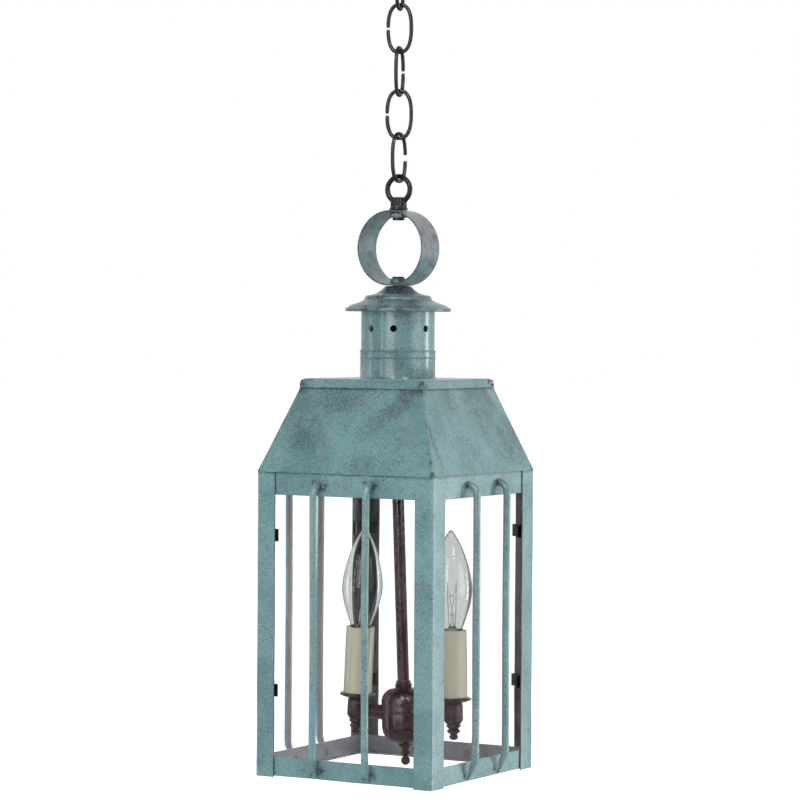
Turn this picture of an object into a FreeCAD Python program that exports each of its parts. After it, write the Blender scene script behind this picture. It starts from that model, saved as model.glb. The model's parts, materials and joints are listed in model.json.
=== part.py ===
"""A square hanging lantern: folded posts and rails with glass panes and guard bars, a hipped roof with a
vented chimney, a ring and an oval-link chain, and a two-candle cluster on a pipe inside.

Every sub-part is drawn in the lantern's own frame, whose height is counted from the feet of the posts and
whose vertical axis runs up the middle. A Placement then carries it into the row's frame, whose origin is the
hanging point: the inside top of the uppermost chain link, with +Z up and the front face towards -Y.
"""
import FreeCAD, Part
import math
import os
from types import SimpleNamespace

import Sketcher

DOCUMENT_NAME = "HangingLantern"
SHEET_NAME = "Sizes"

# Driving dimensions in millimetres, and angles in degrees.
DRIVING = {
    # body
    "body_half": 89.0, "body_height": 266.3, "sheet": 1.3, "bend": 1.6,
    "front_leg": 18.3, "side_leg": 20.6,
    "top_rail": 19.8, "bottom_rail": 16.8, "rail_lift": 1.0, "ledge": 5.0,
    # guard bars
    "bar_dia": 6.4, "bar_offset": 26.3, "bar_proud": 8.6, "bar_top": 258.0, "bar_bottom": 6.5,
    # glass and its corner clips
    "glass": 2.0, "glass_top_gap": 4.0, "clip_height": 11.0, "clip_sheet": 0.8, "clip_past_leg": 1.0,
    "clip_low": 70.0, "clip_high": 207.0, "pane_play": 0.2,
    # roof
    "roof_height": 80.5, "roof_top_half": 59.6, "roof_sheet": 1.2,
    "tray_skirt": 7.0, "tray_sheet": 1.0, "tray_hole": 58.0,
    # chimney
    "tube_dia": 64.8, "tube_wall": 0.8, "tube_top": 410.0, "collar_top": 372.8, "collar_wall": 0.7,
    "bead": 0.6, "lower_bead": 366.0, "vent_dia": 6.0, "vent_level": 391.8,
    # chimney cap, a spun shell
    "cap_rim": 47.2, "cap_sheet": 1.0, "cap_top": 429.1, "cap_flat": 11.4, "cap_rim_level": 408.1,
    "cap_rim_round": 1.5,
    # ring and loop
    "ring_dia": 66.8, "ring_width": 30.3, "ring_sheet": 1.3,
    "loop_flange_dia": 16.2, "loop_flange": 2.0, "loop_collar_dia": 14.6, "loop_collar": 9.4,
    "eye_dia": 27.4, "eye_wire": 4.4,
    # threaded pipe and its nuts
    "pipe_dia": 10.4, "pipe_bore": 7.0, "pipe_clearance": 0.1, "nut_flats": 14.6, "nut_height": 4.2,
    "crossbar_level": 338.0, "crossbar": 3.0, "crossbar_width": 19.0, "crossbar_half": 58.0,
    "pipe_top": 350.0,
    # cluster
    "cluster_x": 9.1, "cluster_level": 53.6, "cluster_dia": 40.0, "cluster_wall": 1.4,
    "cluster_top": 22.2, "cluster_bottom": 27.7, "cluster_shoulder": 9.0, "cluster_waist": 12.0,
    "cluster_neck": 7.4, "cluster_foot": 6.2, "crown_round": 13.2, "base_round": 16.5,
    "bolt_hole": 2.6, "check_ring_dia": 15.2, "check_ring": 5.6,
    "finial_ball": 8.2, "finial_reach": 43.0, "finial_screw": 2.5, "finial_screw_length": 5.0,
    # arms and candles
    "candle_reach": 49.0, "arm_dia": 13.0, "arm_wall": 1.5, "arm_start": 16.5, "arm_drop": 2.0,
    "cup_plate_dia": 31.4, "cup_plate": 3.6, "cup_plate_top": 12.6, "cup_neck_dia": 14.4,
    "cup_barrel_dia": 16.8, "cup_barrel_top": 6.6, "cup_barrel_foot": 8.0, "cup_bore": 9.4, "cup_drop": 24.6,
    "cup_floor": 6.8, "cup_wireway": 6.0, "cup_ball": 4.0, "cup_ball_round": 4.3, "cup_throat_round": 3.2,
    "sleeve_dia": 25.3, "sleeve_wall": 1.3, "sleeve_height": 59.0, "sleeve_gap": 0.15,
    "socket_dia": 20.8, "socket_low": 38.0, "socket_high": 70.4, "socket_bore": 12.6, "socket_depth": 22.0,
    "bulb_dia": 36.2, "bulb_neck_dia": 17.7, "bulb_low": 70.8, "bulb_wide": 108.5, "bulb_tip": 159.0,
    "bulb_tip_dia": 3.0, "bulb_wall": 0.8, "base_dia": 11.9, "base_length": 18.0,
    "lead_dia": 2.0, "lead_bend": 6.5, "lead_end": 11.0,
    # chain
    "link_length": 45.2, "link_width": 25.0, "link_wire": 3.6, "link_play": 0.2, "link_gap": 1.7,
    "open_gap": 5.0,
}

# How far each hand-fitted piece leans, in degrees about +Y.
PIPE_LEAN = -2.3
CANDLE_LEAN = {"left": 2.7, "right": -1.3}

# How far each candle, and the arm that carries it, sits above the cluster's middle, in millimetres.
CANDLE_RISE = {"left": -1.0, "right": 1.9}

# How far each corner's low and high clips were set above their marks, in millimetres.
CLIP_RISE = {
    "front_left": (5.5, 4.1), "front_right": (5.0, 4.5), "rear_right": (8.4, 5.2), "rear_left": (0.0, 2.0),
}

# Plan angle of each chain link's plane, in degrees from +X, from the top link down.
LINK_TURNS = [104.0, 192.0, 104.0, 203.0, 90.0]

# Plan angle of each hand-punched vent hole, in degrees from +X.
VENT_ANGLES = [-106.0, -66.0, -10.2, 31.0, 97.0, 147.0, 200.0]

FACES = {"front": -90.0, "right": 0.0, "rear": 90.0, "left": 180.0}
CORNERS = {"front_left": (-1, -1), "front_right": (1, -1), "rear_right": (1, 1), "rear_left": (-1, 1)}
X_AXIS = FreeCAD.Vector(1, 0, 0)
Y_AXIS = FreeCAD.Vector(0, 1, 0)
Z_AXIS = FreeCAD.Vector(0, 0, 1)


class Size:
    """A length kept twice: as a number, and as the expression over the sheet's cells that gives it."""

    def __init__(self, value, text):
        self.value = value
        self.text = text

    def __add__(self, other):
        other = as_size(other)
        return Size(self.value + other.value, f"({self.text} + {other.text})")

    def __sub__(self, other):
        other = as_size(other)
        return Size(self.value - other.value, f"({self.text} - {other.text})")

    def __mul__(self, other):
        other = as_size(other)
        return Size(self.value * other.value, f"({self.text} * {other.text})")

    def __truediv__(self, other):
        other = as_size(other)
        return Size(self.value / other.value, f"({self.text} / {other.text})")

    def __neg__(self):
        return self * -1

    def __radd__(self, other):
        return as_size(other) + self

    def __rsub__(self, other):
        return as_size(other) - self

    __rmul__ = __mul__


def as_size(number):
    """Wraps a plain number, so that it can stand beside a Size."""
    if isinstance(number, Size):
        return number
    return Size(float(number), f"({float(number)})")


doc = FreeCAD.newDocument(DOCUMENT_NAME)
sheet = doc.addObject("Spreadsheet::Sheet", SHEET_NAME)
for row, (alias, value) in enumerate(DRIVING.items(), start=1):
    sheet.set(f"A{row}", alias)
    sheet.set(f"B{row}", str(value))
    sheet.setAlias(f"B{row}", alias)
doc.recompute()
s = SimpleNamespace(**{alias: Size(value, f"{SHEET_NAME}.{alias}") for alias, value in DRIVING.items()})

# Levels that follow from the driving dimensions.
roof_slope = (s.body_half - s.roof_top_half) / s.roof_height
roof_top = s.body_height + s.roof_height
tray_top = roof_top + s.tray_sheet
ring_centre = s.cap_top + s.ring_dia / 2
ring_top = s.cap_top + s.ring_dia
eye_centre = ring_top + s.loop_flange + s.loop_collar + s.eye_dia / 2 - s.eye_wire - 2.4
eye_inner_top = eye_centre + s.eye_dia / 2 - s.eye_wire
link_pitch = s.link_length - s.link_wire * 2 - s.link_play
link_radius = (s.link_width - s.link_wire) / 2
lowest_link = eye_inner_top - s.link_play + s.link_length / 2 - s.link_wire
hanging_point = lowest_link + link_pitch * (len(LINK_TURNS) - 1) + s.link_length / 2 - s.link_wire

LANTERN = FreeCAD.Placement(FreeCAD.Vector(0, 0, -hanging_point.value), FreeCAD.Rotation())
CLUSTER_CENTRE = FreeCAD.Vector(s.cluster_x.value, 0, s.cluster_level.value)
CLUSTER = LANTERN * FreeCAD.Placement(CLUSTER_CENTRE, FreeCAD.Rotation(Y_AXIS, PIPE_LEAN))

parts = []


# --- helpers --------------------------------------------------------------------------------------------

def bind(thing, **properties):
    """Ties each named property to the sheet."""
    for name, length in properties.items():
        thing.setExpression(name, as_size(length).text)
    return thing


def keep(thing, label, placement=LANTERN):
    """Names a finished sub-part, puts it in its place and adds it to the hand-in."""
    thing.Label = label
    thing.Placement = placement
    parts.append(thing)
    return thing


def turned(angle, axis=Z_AXIS):
    """A turn about an axis through the origin."""
    return FreeCAD.Placement(FreeCAD.Vector(), FreeCAD.Rotation(axis, angle))


def moved(x=0.0, y=0.0, z=0.0):
    """A shift without a turn."""
    return FreeCAD.Placement(FreeCAD.Vector(x, y, z), FreeCAD.Rotation())


def new_body(name):
    return doc.addObject("PartDesign::Body", name)


def new_sketch(body, role, name, lift=None):
    """A sketch on one of the body's own origin planes, lifted off it along the plane's normal."""
    plane = [feature for feature in body.Origin.OriginFeatures if feature.Role == role][0]
    sketch = body.newObject("Sketcher::SketchObject", name)
    sketch.AttachmentSupport = [(plane, "")]
    sketch.MapMode = "FlatFace"
    if lift is not None:
        sketch.setExpression(".AttachmentOffset.Base.z", lift.text)
        sketch.AttachmentOffset = moved(z=lift.value)
    return sketch


def arc_between(start, end, radius, side):
    """The short arc from start to end, bulging to the left of the way for side +1 and right for -1."""
    chord = end - start
    left = FreeCAD.Vector(-chord.y, chord.x, 0).normalize()
    to_centre = max(radius ** 2 - (chord.Length / 2) ** 2, 0.0) ** 0.5
    centre = start + chord * 0.5 - left * (to_centre * side)
    first, last = (end, start) if side > 0 else (start, end)
    begin = math.atan2(first.y - centre.y, first.x - centre.x)
    finish = math.atan2(last.y - centre.y, last.x - centre.x)
    if finish <= begin:
        finish += 2 * math.pi
    return Part.ArcOfCircle(Part.Circle(centre, Z_AXIS, radius), begin, finish)


def hold(sketch, kind, edge, end, length):
    """Holds an edge's end at a sheet-driven distance from the sketch's origin."""
    number = sketch.addConstraint(Sketcher.Constraint(kind, -1, 1, edge, end, length.value))
    sketch.setExpression(f"Constraints[{number}]", length.text)


def outline(sketch, points, arcs=None, closed=True):
    """Draws edges through points. arcs maps an edge's number to its (radius, side); others are straight."""
    arcs = arcs or {}
    points = [(as_size(x), as_size(y)) for x, y in points]
    places = [FreeCAD.Vector(x.value, y.value, 0) for x, y in points]
    count = len(points)
    edges = count if closed else count - 1
    ends = []
    for edge in range(edges):
        start = places[edge]
        end = places[(edge + 1) % count]
        if edge in arcs:
            radius, side = arcs[edge]
            sketch.addGeometry(arc_between(start, end, radius.value, side), False)
            number = sketch.addConstraint(Sketcher.Constraint("Radius", edge, radius.value))
            sketch.setExpression(f"Constraints[{number}]", radius.text)
        else:
            sketch.addGeometry(Part.LineSegment(start, end), False)
        begins_at_start = (sketch.Geometry[edge].StartPoint - start).Length < 1e-4
        ends.append((1, 2) if begins_at_start else (2, 1))
    for edge in range(edges):
        hold(sketch, "DistanceX", edge, ends[edge][0], points[edge][0])
        hold(sketch, "DistanceY", edge, ends[edge][0], points[edge][1])
        if closed or edge < edges - 1:
            following = (edge + 1) % count
            joint = Sketcher.Constraint("Coincident", edge, ends[edge][1], following, ends[following][0])
            sketch.addConstraint(joint)
    if not closed:
        hold(sketch, "DistanceX", edges - 1, ends[-1][1], points[-1][0])
        hold(sketch, "DistanceY", edges - 1, ends[-1][1], points[-1][1])
    return sketch


def circle(sketch, x, y, diameter):
    """Draws a circle held by its centre and radius."""
    x, y = as_size(x), as_size(y)
    round_edge = Part.Circle(FreeCAD.Vector(x.value, y.value, 0), Z_AXIS, diameter.value / 2)
    edge = sketch.addGeometry(round_edge, False)
    number = sketch.addConstraint(Sketcher.Constraint("Radius", edge, diameter.value / 2))
    sketch.setExpression(f"Constraints[{number}]", (diameter / 2).text)
    hold(sketch, "DistanceX", edge, 3, x)
    hold(sketch, "DistanceY", edge, 3, y)
    return sketch


def padded(name, points, length, role="XY_Plane", lift=None, arcs=None):
    """A body that pads one closed outline."""
    body = new_body(name)
    profile = outline(new_sketch(body, role, name + "_outline", lift), points, arcs)
    pad = body.newObject("PartDesign::Pad", name + "_pad")
    pad.Profile = profile
    bind(pad, Length=length)
    return body


def spun(name, points, arcs=None):
    """A body that turns one closed outline, drawn as (radius, height), about the vertical axis."""
    body = new_body(name)
    profile = outline(new_sketch(body, "XZ_Plane", name + "_outline"), points, arcs)
    turn = body.newObject("PartDesign::Revolution", name + "_turn")
    turn.Profile = profile
    turn.ReferenceAxis = (profile, ["V_Axis"])
    turn.Angle = 360.0
    return body


def bent_rod(name, points, arcs, diameter, section_role, section_lift, section_centre):
    """A body that runs a round section along a path drawn as (sideways, height)."""
    body = new_body(name)
    path = outline(new_sketch(body, "XZ_Plane", name + "_path"), points, arcs, closed=False)
    section = new_sketch(body, section_role, name + "_section", section_lift)
    circle(section, *section_centre, diameter)
    rod = body.newObject("PartDesign::AdditivePipe", name + "_rod")
    rod.Profile = section
    rod.Spine = (path, [])
    return body


def box(name, low, high):
    """A Part box between two corners given as Sizes."""
    low = [as_size(value) for value in low]
    high = [as_size(value) for value in high]
    block = doc.addObject("Part::Box", name)
    bind(block, Length=high[0] - low[0], Width=high[1] - low[1], Height=high[2] - low[2])
    block.Placement = moved(low[0].value, low[1].value, low[2].value)
    bind(block, **{".Placement.Base.x": low[0], ".Placement.Base.y": low[1], ".Placement.Base.z": low[2]})
    return block


def cylinder(name, diameter, low, high, x=0.0, y=0.0):
    """An upright Part cylinder."""
    low, high, x, y = as_size(low), as_size(high), as_size(x), as_size(y)
    rod = doc.addObject("Part::Cylinder", name)
    bind(rod, Radius=diameter / 2, Height=high - low)
    rod.Placement = moved(x.value, y.value, low.value)
    bind(rod, **{".Placement.Base.x": x, ".Placement.Base.y": y, ".Placement.Base.z": low})
    return rod


def lying_cylinder(name, diameter, length, placement):
    """A Part cylinder that starts at a placement and runs along its own +X."""
    rod = doc.addObject("Part::Cylinder", name)
    bind(rod, Radius=diameter / 2, Height=length)
    rod.Placement = placement * turned(90.0, Y_AXIS)
    return rod


def cut(name, base, tool):
    result = doc.addObject("Part::Cut", name)
    result.Base = base
    result.Tool = tool
    return result


def fused(name, shapes):
    result = doc.addObject("Part::MultiFuse", name)
    result.Shapes = shapes
    return result


def grouped(name, members):
    """A group of separate solids that share one node."""
    group = doc.addObject("Part::Compound", name)
    group.Links = members
    return group


def tube(name, diameter, bore, low, high, x=0.0, y=0.0):
    """An upright round tube."""
    outer = cylinder(name + "_outer", diameter, low, high, x, y)
    inner = cylinder(name + "_bore", bore, as_size(low) - 1, as_size(high) + 1, x, y)
    return cut(name, outer, inner)


# --- body: posts, rails, guard bars, glass --------------------------------------------------------------

def make_posts():
    """Four folded angles, one at each corner, whose legs lie in the two faces that meet there."""
    half, wall, bend = s.body_half, s.sheet, s.bend
    inner_bend = bend - wall
    for corner, (sx, sy) in CORNERS.items():
        turn = sx * sy
        points = [
            (half * sx, (half - bend) * sy),
            (half * sx, (half - s.side_leg) * sy),
            ((half - wall) * sx, (half - s.side_leg) * sy),
            ((half - wall) * sx, (half - bend) * sy),
            ((half - bend) * sx, (half - wall) * sy),
            ((half - s.front_leg) * sx, (half - wall) * sy),
            ((half - s.front_leg) * sx, half * sy),
            ((half - bend) * sx, half * sy),
        ]
        arcs = {3: (inner_bend, -turn), 7: (bend, turn)}
        name = "corner_post_" + corner
        keep(padded(name, points, s.body_height, arcs=arcs), name)


def make_rails():
    """Flat top rails and ledged bottom rails, lying against the inner faces of the posts' legs."""
    wall = s.sheet
    inset = 0.4
    top_low = s.body_height - s.top_rail
    for face, angle in FACES.items():
        crosswise = face in ("left", "right")
        outer = s.body_half - wall
        top_half = outer - wall if crosswise else outer - inset
        bottom_half = outer - s.ledge if crosswise else outer - inset
        top_points = [(-outer, -top_half), (-outer, top_half), (-outer + wall, top_half),
                      (-outer + wall, -top_half)]
        top = padded("top_rail_" + face, top_points, s.top_rail, lift=top_low)
        keep(top, "top_rail_" + face, LANTERN * turned(angle + 180.0))
        low = s.rail_lift
        high = s.rail_lift + s.bottom_rail
        section = [(-outer, low), (-outer, high), (-outer + wall, high), (-outer + wall, low + wall),
                   (-outer + s.ledge, low + wall), (-outer + s.ledge, low)]
        bottom = padded("bottom_rail_" + face, section, bottom_half * 2, role="XZ_Plane",
                        lift=-bottom_half)
        keep(bottom, "bottom_rail_" + face, LANTERN * turned(angle + 180.0))


def make_guard_bars():
    """Two round bars in front of each pane, bent in and soldered to the rails at both ends."""
    proud = s.bar_proud
    points = [
        (0.0, s.bar_top),
        (proud, s.bar_top - proud),
        (proud, s.bar_bottom + proud),
        (0.0, s.bar_bottom),
    ]
    arcs = {0: (proud, 1), 2: (proud, 1)}
    for face, angle in FACES.items():
        bars = []
        for side in (-1, 1):
            name = f"guard_bar_{face}_{'a' if side < 0 else 'b'}"
            bar = bent_rod(name, points, arcs, s.bar_dia, "YZ_Plane", None, (0.0, s.bar_top))
            stand = moved(s.body_half.value - s.sheet.value, side * s.bar_offset.value, 0.0)
            bar.Placement = turned(angle) * stand
            bars.append(bar)
        keep(grouped("guard_bars_" + face, bars), "guard_bars_" + face)


def make_glass():
    """Four panes that stand on the bottom rails' ledges, behind the rails."""
    low = s.rail_lift + s.sheet
    high = s.body_height - s.glass_top_gap
    outer = s.body_half - s.sheet * 2
    for face, angle in FACES.items():
        half = outer - s.glass if face in ("left", "right") else outer
        half = half - s.pane_play
        points = [(outer - s.glass, -half), (outer, -half), (outer, half), (outer - s.glass, half)]
        pane = padded("glass_pane_" + face, points, high - low, lift=low)
        keep(pane, "glass_pane_" + face, LANTERN * turned(angle))


def make_glass_clips():
    """Small angle clips that hold the panes' edges in each corner, at two heights."""
    back = s.body_half - s.sheet * 2 - s.glass
    thin = s.clip_sheet
    reach_x = s.body_half - s.front_leg - s.clip_past_leg
    reach_y = s.body_half - s.side_leg - s.clip_past_leg
    clips = []
    for corner, (sx, sy) in CORNERS.items():
        points = [
            (back * sx, back * sy),
            (back * sx, reach_y * sy),
            ((back - thin) * sx, reach_y * sy),
            ((back - thin) * sx, (back - thin) * sy),
            (reach_x * sx, (back - thin) * sy),
            (reach_x * sx, back * sy),
        ]
        for height, mark, rise in zip(("low", "high"), (s.clip_low, s.clip_high), CLIP_RISE[corner]):
            foot = mark + rise - s.clip_height / 2
            clips.append(padded(f"clip_{corner}_{height}", points, s.clip_height, lift=foot))
    keep(grouped("glass_clips", clips), "glass_clips")


# --- roof and chimney -----------------------------------------------------------------------------------

def square(half):
    """The four corners of a square centred on the axis."""
    return [(-half, -half), (half, -half), (half, half), (-half, half)]


def loft(body, kind, name, sections):
    """Lofts between outlines, each given as (points, level)."""
    sketches = []
    for number, (points, level) in enumerate(sections):
        sketches.append(outline(new_sketch(body, "XY_Plane", f"{name}_{number}", level), points))
    feature = body.newObject("PartDesign::" + kind, name)
    feature.Profile = sketches[0]
    feature.Sections = sketches[1:]
    feature.Ruled = True
    return feature


def make_roof():
    """Four sloping sheets, mitred and soldered along the hips."""
    wall = s.roof_sheet

    def section(half):
        inner = half - wall
        return [(half, -half), (half, half), (inner, inner), (inner, -inner)]

    for face, angle in FACES.items():
        body = new_body("roof_panel_" + face)
        loft(body, "AdditiveLoft", "slope_" + face,
             [(section(s.body_half), s.body_height), (section(s.roof_top_half), roof_top)])
        keep(body, "roof_panel_" + face, LANTERN * turned(angle))


def make_roof_tray():
    """The roof's flat top, a shallow tray turned over whose skirt follows the slope."""
    wall = s.tray_sheet
    low = roof_top - s.tray_skirt
    low_half = s.roof_top_half + roof_slope * s.tray_skirt
    top_half = s.roof_top_half - roof_slope * wall
    body = new_body("roof_tray")
    loft(body, "AdditiveLoft", "tray_outside",
         [(square(low_half + wall), low), (square(top_half + wall), tray_top)])
    loft(body, "SubtractiveLoft", "tray_inside",
         [(square(low_half), low), (square(s.roof_top_half), roof_top)])
    hole = circle(new_sketch(body, "XY_Plane", "tray_opening", tray_top), 0.0, 0.0, s.tray_hole)
    pocket = body.newObject("PartDesign::Pocket", "tray_pocket")
    pocket.Profile = hole
    bind(pocket, Length=wall * 3)
    keep(body, "roof_tray")


def make_chimney():
    """The vented upper tube, and the beaded collar that it is soldered into."""
    shell = tube("tube_shell", s.tube_dia, s.tube_dia - s.tube_wall * 2, tray_top, s.tube_top)
    drills = []
    for number, angle in enumerate(VENT_ANGLES):
        aim = moved(z=s.vent_level.value) * turned(angle)
        drills.append(lying_cylinder(f"vent_drill_{number}", s.vent_dia, s.tube_dia, aim))
    keep(cut("chimney_tube", shell, fused("vent_drills", drills)), "chimney_tube")

    inner = s.tube_dia / 2
    outer = inner + s.collar_wall
    bead = s.bead
    upper_bead = s.collar_top - bead
    points = [
        (inner, tray_top),
        (outer + 1.6, tray_top),
        (outer + 1.6, tray_top + 0.9),
        (outer, tray_top + 0.9),
        (outer, s.lower_bead - bead),
        (outer, s.lower_bead + bead),
        (outer, upper_bead - bead),
        (outer, upper_bead + bead),
        (inner, s.collar_top),
    ]
    bead_round = bead * 1.1
    arcs = {4: (bead_round, -1), 6: (bead_round, -1)}
    keep(spun("chimney_collar", points, arcs), "chimney_collar")


def make_chimney_cap():
    """A spun cap: a flat top, a cone with a stepped ring, and a rolled brim."""
    rim = s.cap_rim
    top = s.cap_top
    level = s.cap_rim_level
    roll = s.cap_rim_round
    thin = s.cap_sheet
    hole = s.pipe_dia / 2 + s.pipe_clearance
    points = [
        (hole, top),
        (s.cap_flat, top),
        (rim * 0.46, top - 7.6),
        (rim * 0.54, top - 8.4),
        (rim * 0.61, top - 9.6),
        (rim * 0.67, top - 13.2),
        (rim * 0.88, top - 16.4),
        (rim - roll, level + roll),
        (rim - roll, level - roll),
        (rim * 0.88, top - 16.4 - thin * 1.6),
        (rim * 0.66, top - 13.6 - thin),
        (rim * 0.60, top - 10.0 - thin),
        (rim * 0.46, top - 8.0 - thin),
        (s.cap_flat, top - thin),
        (hole, top - thin),
    ]
    arcs = {7: (roll * 1.05, 1)}
    keep(spun("chimney_cap", points, arcs), "chimney_cap")


# --- ring, loop and threaded parts ----------------------------------------------------------------------

def make_ring():
    """A rolled strip stood on edge, drilled at top and bottom for the threaded nipples."""
    low = -s.ring_width / 2
    outer = cylinder("ring_outer", s.ring_dia, low, s.ring_width / 2)
    inner = cylinder("ring_inner", s.ring_dia - s.ring_sheet * 2, low - 1, s.ring_width / 2 + 1)
    strip = cut("ring_strip", outer, inner)
    strip.Placement = moved(z=ring_centre.value) * turned(90.0, X_AXIS)
    drill = cylinder("ring_drill", s.pipe_dia + s.pipe_clearance * 2, s.cap_top - 1, ring_top + 1)
    keep(cut("hanging_ring", strip, drill), "hanging_ring")


def make_loop():
    """The loop: a flanged collar that screws onto a nipple, with an eye for the chain."""
    base = ring_top
    shoulder = base + s.loop_flange
    crown = shoulder + s.loop_collar
    flange = cylinder("loop_flange_disc", s.loop_flange_dia, base, shoulder)
    collar = cylinder("loop_collar_body", s.loop_collar_dia, shoulder, crown)
    eye = doc.addObject("Part::Torus", "loop_eye")
    bind(eye, Radius1=(s.eye_dia - s.eye_wire) / 2, Radius2=s.eye_wire / 2)
    eye.Placement = moved(z=eye_centre.value) * turned(90.0, X_AXIS)
    solid = fused("loop_solid", [flange, collar, eye])
    thread = cylinder("loop_thread", s.pipe_dia + 0.1, base - 1, base + 8.0)
    wireway = cylinder("loop_wireway", s.pipe_bore, base, eye_centre)
    keep(cut("hanging_loop", solid, fused("loop_bores", [thread, wireway])), "hanging_loop")


def make_nipples():
    """Short threaded pipes: one holds the loop to the ring, one holds the ring to the cap."""
    inside_top = ring_top - s.ring_sheet
    inside_bottom = s.cap_top + s.ring_sheet
    loop_nipple = tube("loop_nipple", s.pipe_dia, s.pipe_bore, inside_top - 7.5, ring_top + 7.5)
    cap_nipple = tube("cap_nipple", s.pipe_dia, s.pipe_bore, s.cap_top - 8.0, inside_bottom + 7.0)
    keep(grouped("threaded_nipples", [loop_nipple, cap_nipple]), "threaded_nipples")


def hex_nut(name, placement):
    """A thin hexagon lock nut whose lower face is at the placement."""
    prism = doc.addObject("Part::Prism", name + "_hex")
    prism.Polygon = 6
    bind(prism, Circumradius=s.nut_flats / 3 ** 0.5, Height=s.nut_height)
    bore = cylinder(name + "_bore", s.pipe_dia + 0.04, -1.0, s.nut_height + 1)
    nut = cut(name, prism, bore)
    nut.Placement = placement
    return nut


def make_lock_nuts():
    """Nuts inside the ring, under the cap, and above and below the crossbar."""
    rest_on_curve = 1.2
    ring_floor = s.cap_top + s.ring_sheet + rest_on_curve
    ring_roof = ring_top - s.ring_sheet - rest_on_curve - s.nut_height
    under_cap = s.cap_top - s.cap_sheet - s.nut_height
    pipe_frame = LANTERN.inverse() * CLUSTER
    above = s.crossbar_level + s.crossbar + 0.6 - s.cluster_level
    below = s.crossbar_level - 0.6 - s.nut_height - s.cluster_level
    nuts = [
        hex_nut("nut_ring_floor", moved(z=ring_floor.value)),
        hex_nut("nut_ring_roof", moved(z=ring_roof.value) * turned(15.0)),
        hex_nut("nut_under_cap", moved(z=under_cap.value)),
        hex_nut("nut_above_bar", pipe_frame * moved(z=above.value) * turned(10.0)),
        hex_nut("nut_below_bar", pipe_frame * moved(z=below.value) * turned(24.0)),
    ]
    keep(grouped("lock_nuts", nuts), "lock_nuts")


def make_crossbar():
    """A flat bar across the top of the roof, from which the pipe hangs."""
    low = s.crossbar_level
    high = low + s.crossbar
    half_width = s.crossbar_width / 2
    bar = box("crossbar_strip", (-s.crossbar_half, -half_width, low), (s.crossbar_half, half_width, high))
    pipe_frame = LANTERN.inverse() * CLUSTER
    crossing = pipe_frame.multVec(FreeCAD.Vector(0, 0, s.crossbar_level.value - s.cluster_level.value))
    drill = cylinder("crossbar_drill", s.pipe_dia + 0.9, low - 1, high + 1)
    drill.setExpression(".Placement.Base.x", str(round(crossing.x, 3)))
    keep(cut("crossbar", bar, drill), "crossbar")


# --- pipe and cluster -----------------------------------------------------------------------------------

def make_pipe():
    """The pipe that carries the cluster, threaded at both ends."""
    low = s.cluster_top - 9.0
    high = s.pipe_top - s.cluster_level
    keep(tube("stem_pipe", s.pipe_dia, s.pipe_bore, low, high), "stem_pipe", CLUSTER)
    collar = tube("check_ring", s.check_ring_dia, s.pipe_dia + s.pipe_clearance,
                  s.cluster_top, s.cluster_top + s.check_ring)
    keep(collar, "check_ring", CLUSTER)


def arm_drills(name):
    """Two cutters for the arms' holes, each along its own arm."""
    drills = []
    for side, lean in CANDLE_LEAN.items():
        turn = 180.0 if side == "left" else 0.0
        arm_level = moved(z=CANDLE_RISE[side] - s.arm_drop.value)
        aim = turned(lean - PIPE_LEAN, Y_AXIS) * arm_level * turned(turn)
        drills.append(lying_cylinder(f"{name}_{side}", s.arm_dia + 0.1, s.cluster_dia, aim))
    return fused(name, drills)


def make_cluster_body():
    """The cluster's two spun shells, which meet at a flat joint at the arms' level, and its finial."""
    radius = s.cluster_dia / 2
    wall = s.cluster_wall
    inside = radius - wall
    top, bottom = s.cluster_top, s.cluster_bottom
    neck, foot = s.cluster_neck, s.cluster_foot
    bore = s.pipe_dia / 2 + s.pipe_clearance / 2
    shoulder, waist = s.cluster_shoulder, s.cluster_waist
    upper_points = [
        (bore, top), (neck, top), (radius, shoulder), (radius, 0.0), (inside, 0.0), (inside, shoulder),
        (neck, top - wall), (bore, top - wall),
    ]
    upper = spun("cluster_upper_shell", upper_points, {1: (s.crown_round, 1), 5: (s.crown_round - wall, -1)})
    keep(cut("cluster_body_upper", upper, arm_drills("upper_drills")), "cluster_body_upper", CLUSTER)

    bolt = s.bolt_hole
    lower_points = [
        (bolt, -bottom), (foot, -bottom), (radius, -waist), (radius, 0.0), (inside, 0.0), (inside, -waist),
        (foot, -bottom + wall), (bolt, -bottom + wall),
    ]
    lower = spun("cluster_lower_shell", lower_points, {1: (s.base_round, -1), 5: (s.base_round - wall, 1)})
    keep(cut("cluster_body_lower", lower, arm_drills("lower_drills")), "cluster_body_lower", CLUSTER)

    ball = s.finial_ball / 2
    centre = -s.finial_reach
    screw = s.finial_screw
    screw_top = s.finial_screw_length - bottom
    finial_points = [
        (0.0, screw_top), (screw, screw_top), (screw, -bottom), (foot, -bottom), (foot, -bottom - 1.6),
        (2.9, -bottom - 6.4), (4.3, -bottom - 7.6), (4.3, -bottom - 8.8), (2.4, centre + ball * 0.82),
        (ball, centre), (0.0, centre - ball),
    ]
    arcs = {8: (ball * 1.12, 1), 9: (ball, 1)}
    keep(spun("cluster_finial", finial_points, arcs), "cluster_finial", CLUSTER)


# --- arms, candles and bulbs ----------------------------------------------------------------------------

def candle_frame(side):
    """The frame of one candle: its axis is +Z, and its arm runs from it along -X to the cluster."""
    turn = 180.0 if side == "left" else 0.0
    swing = FreeCAD.Placement(CLUSTER_CENTRE, FreeCAD.Rotation(Y_AXIS, CANDLE_LEAN[side]))
    return LANTERN * swing * turned(turn) * moved(x=s.candle_reach.value, z=CANDLE_RISE[side])


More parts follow.
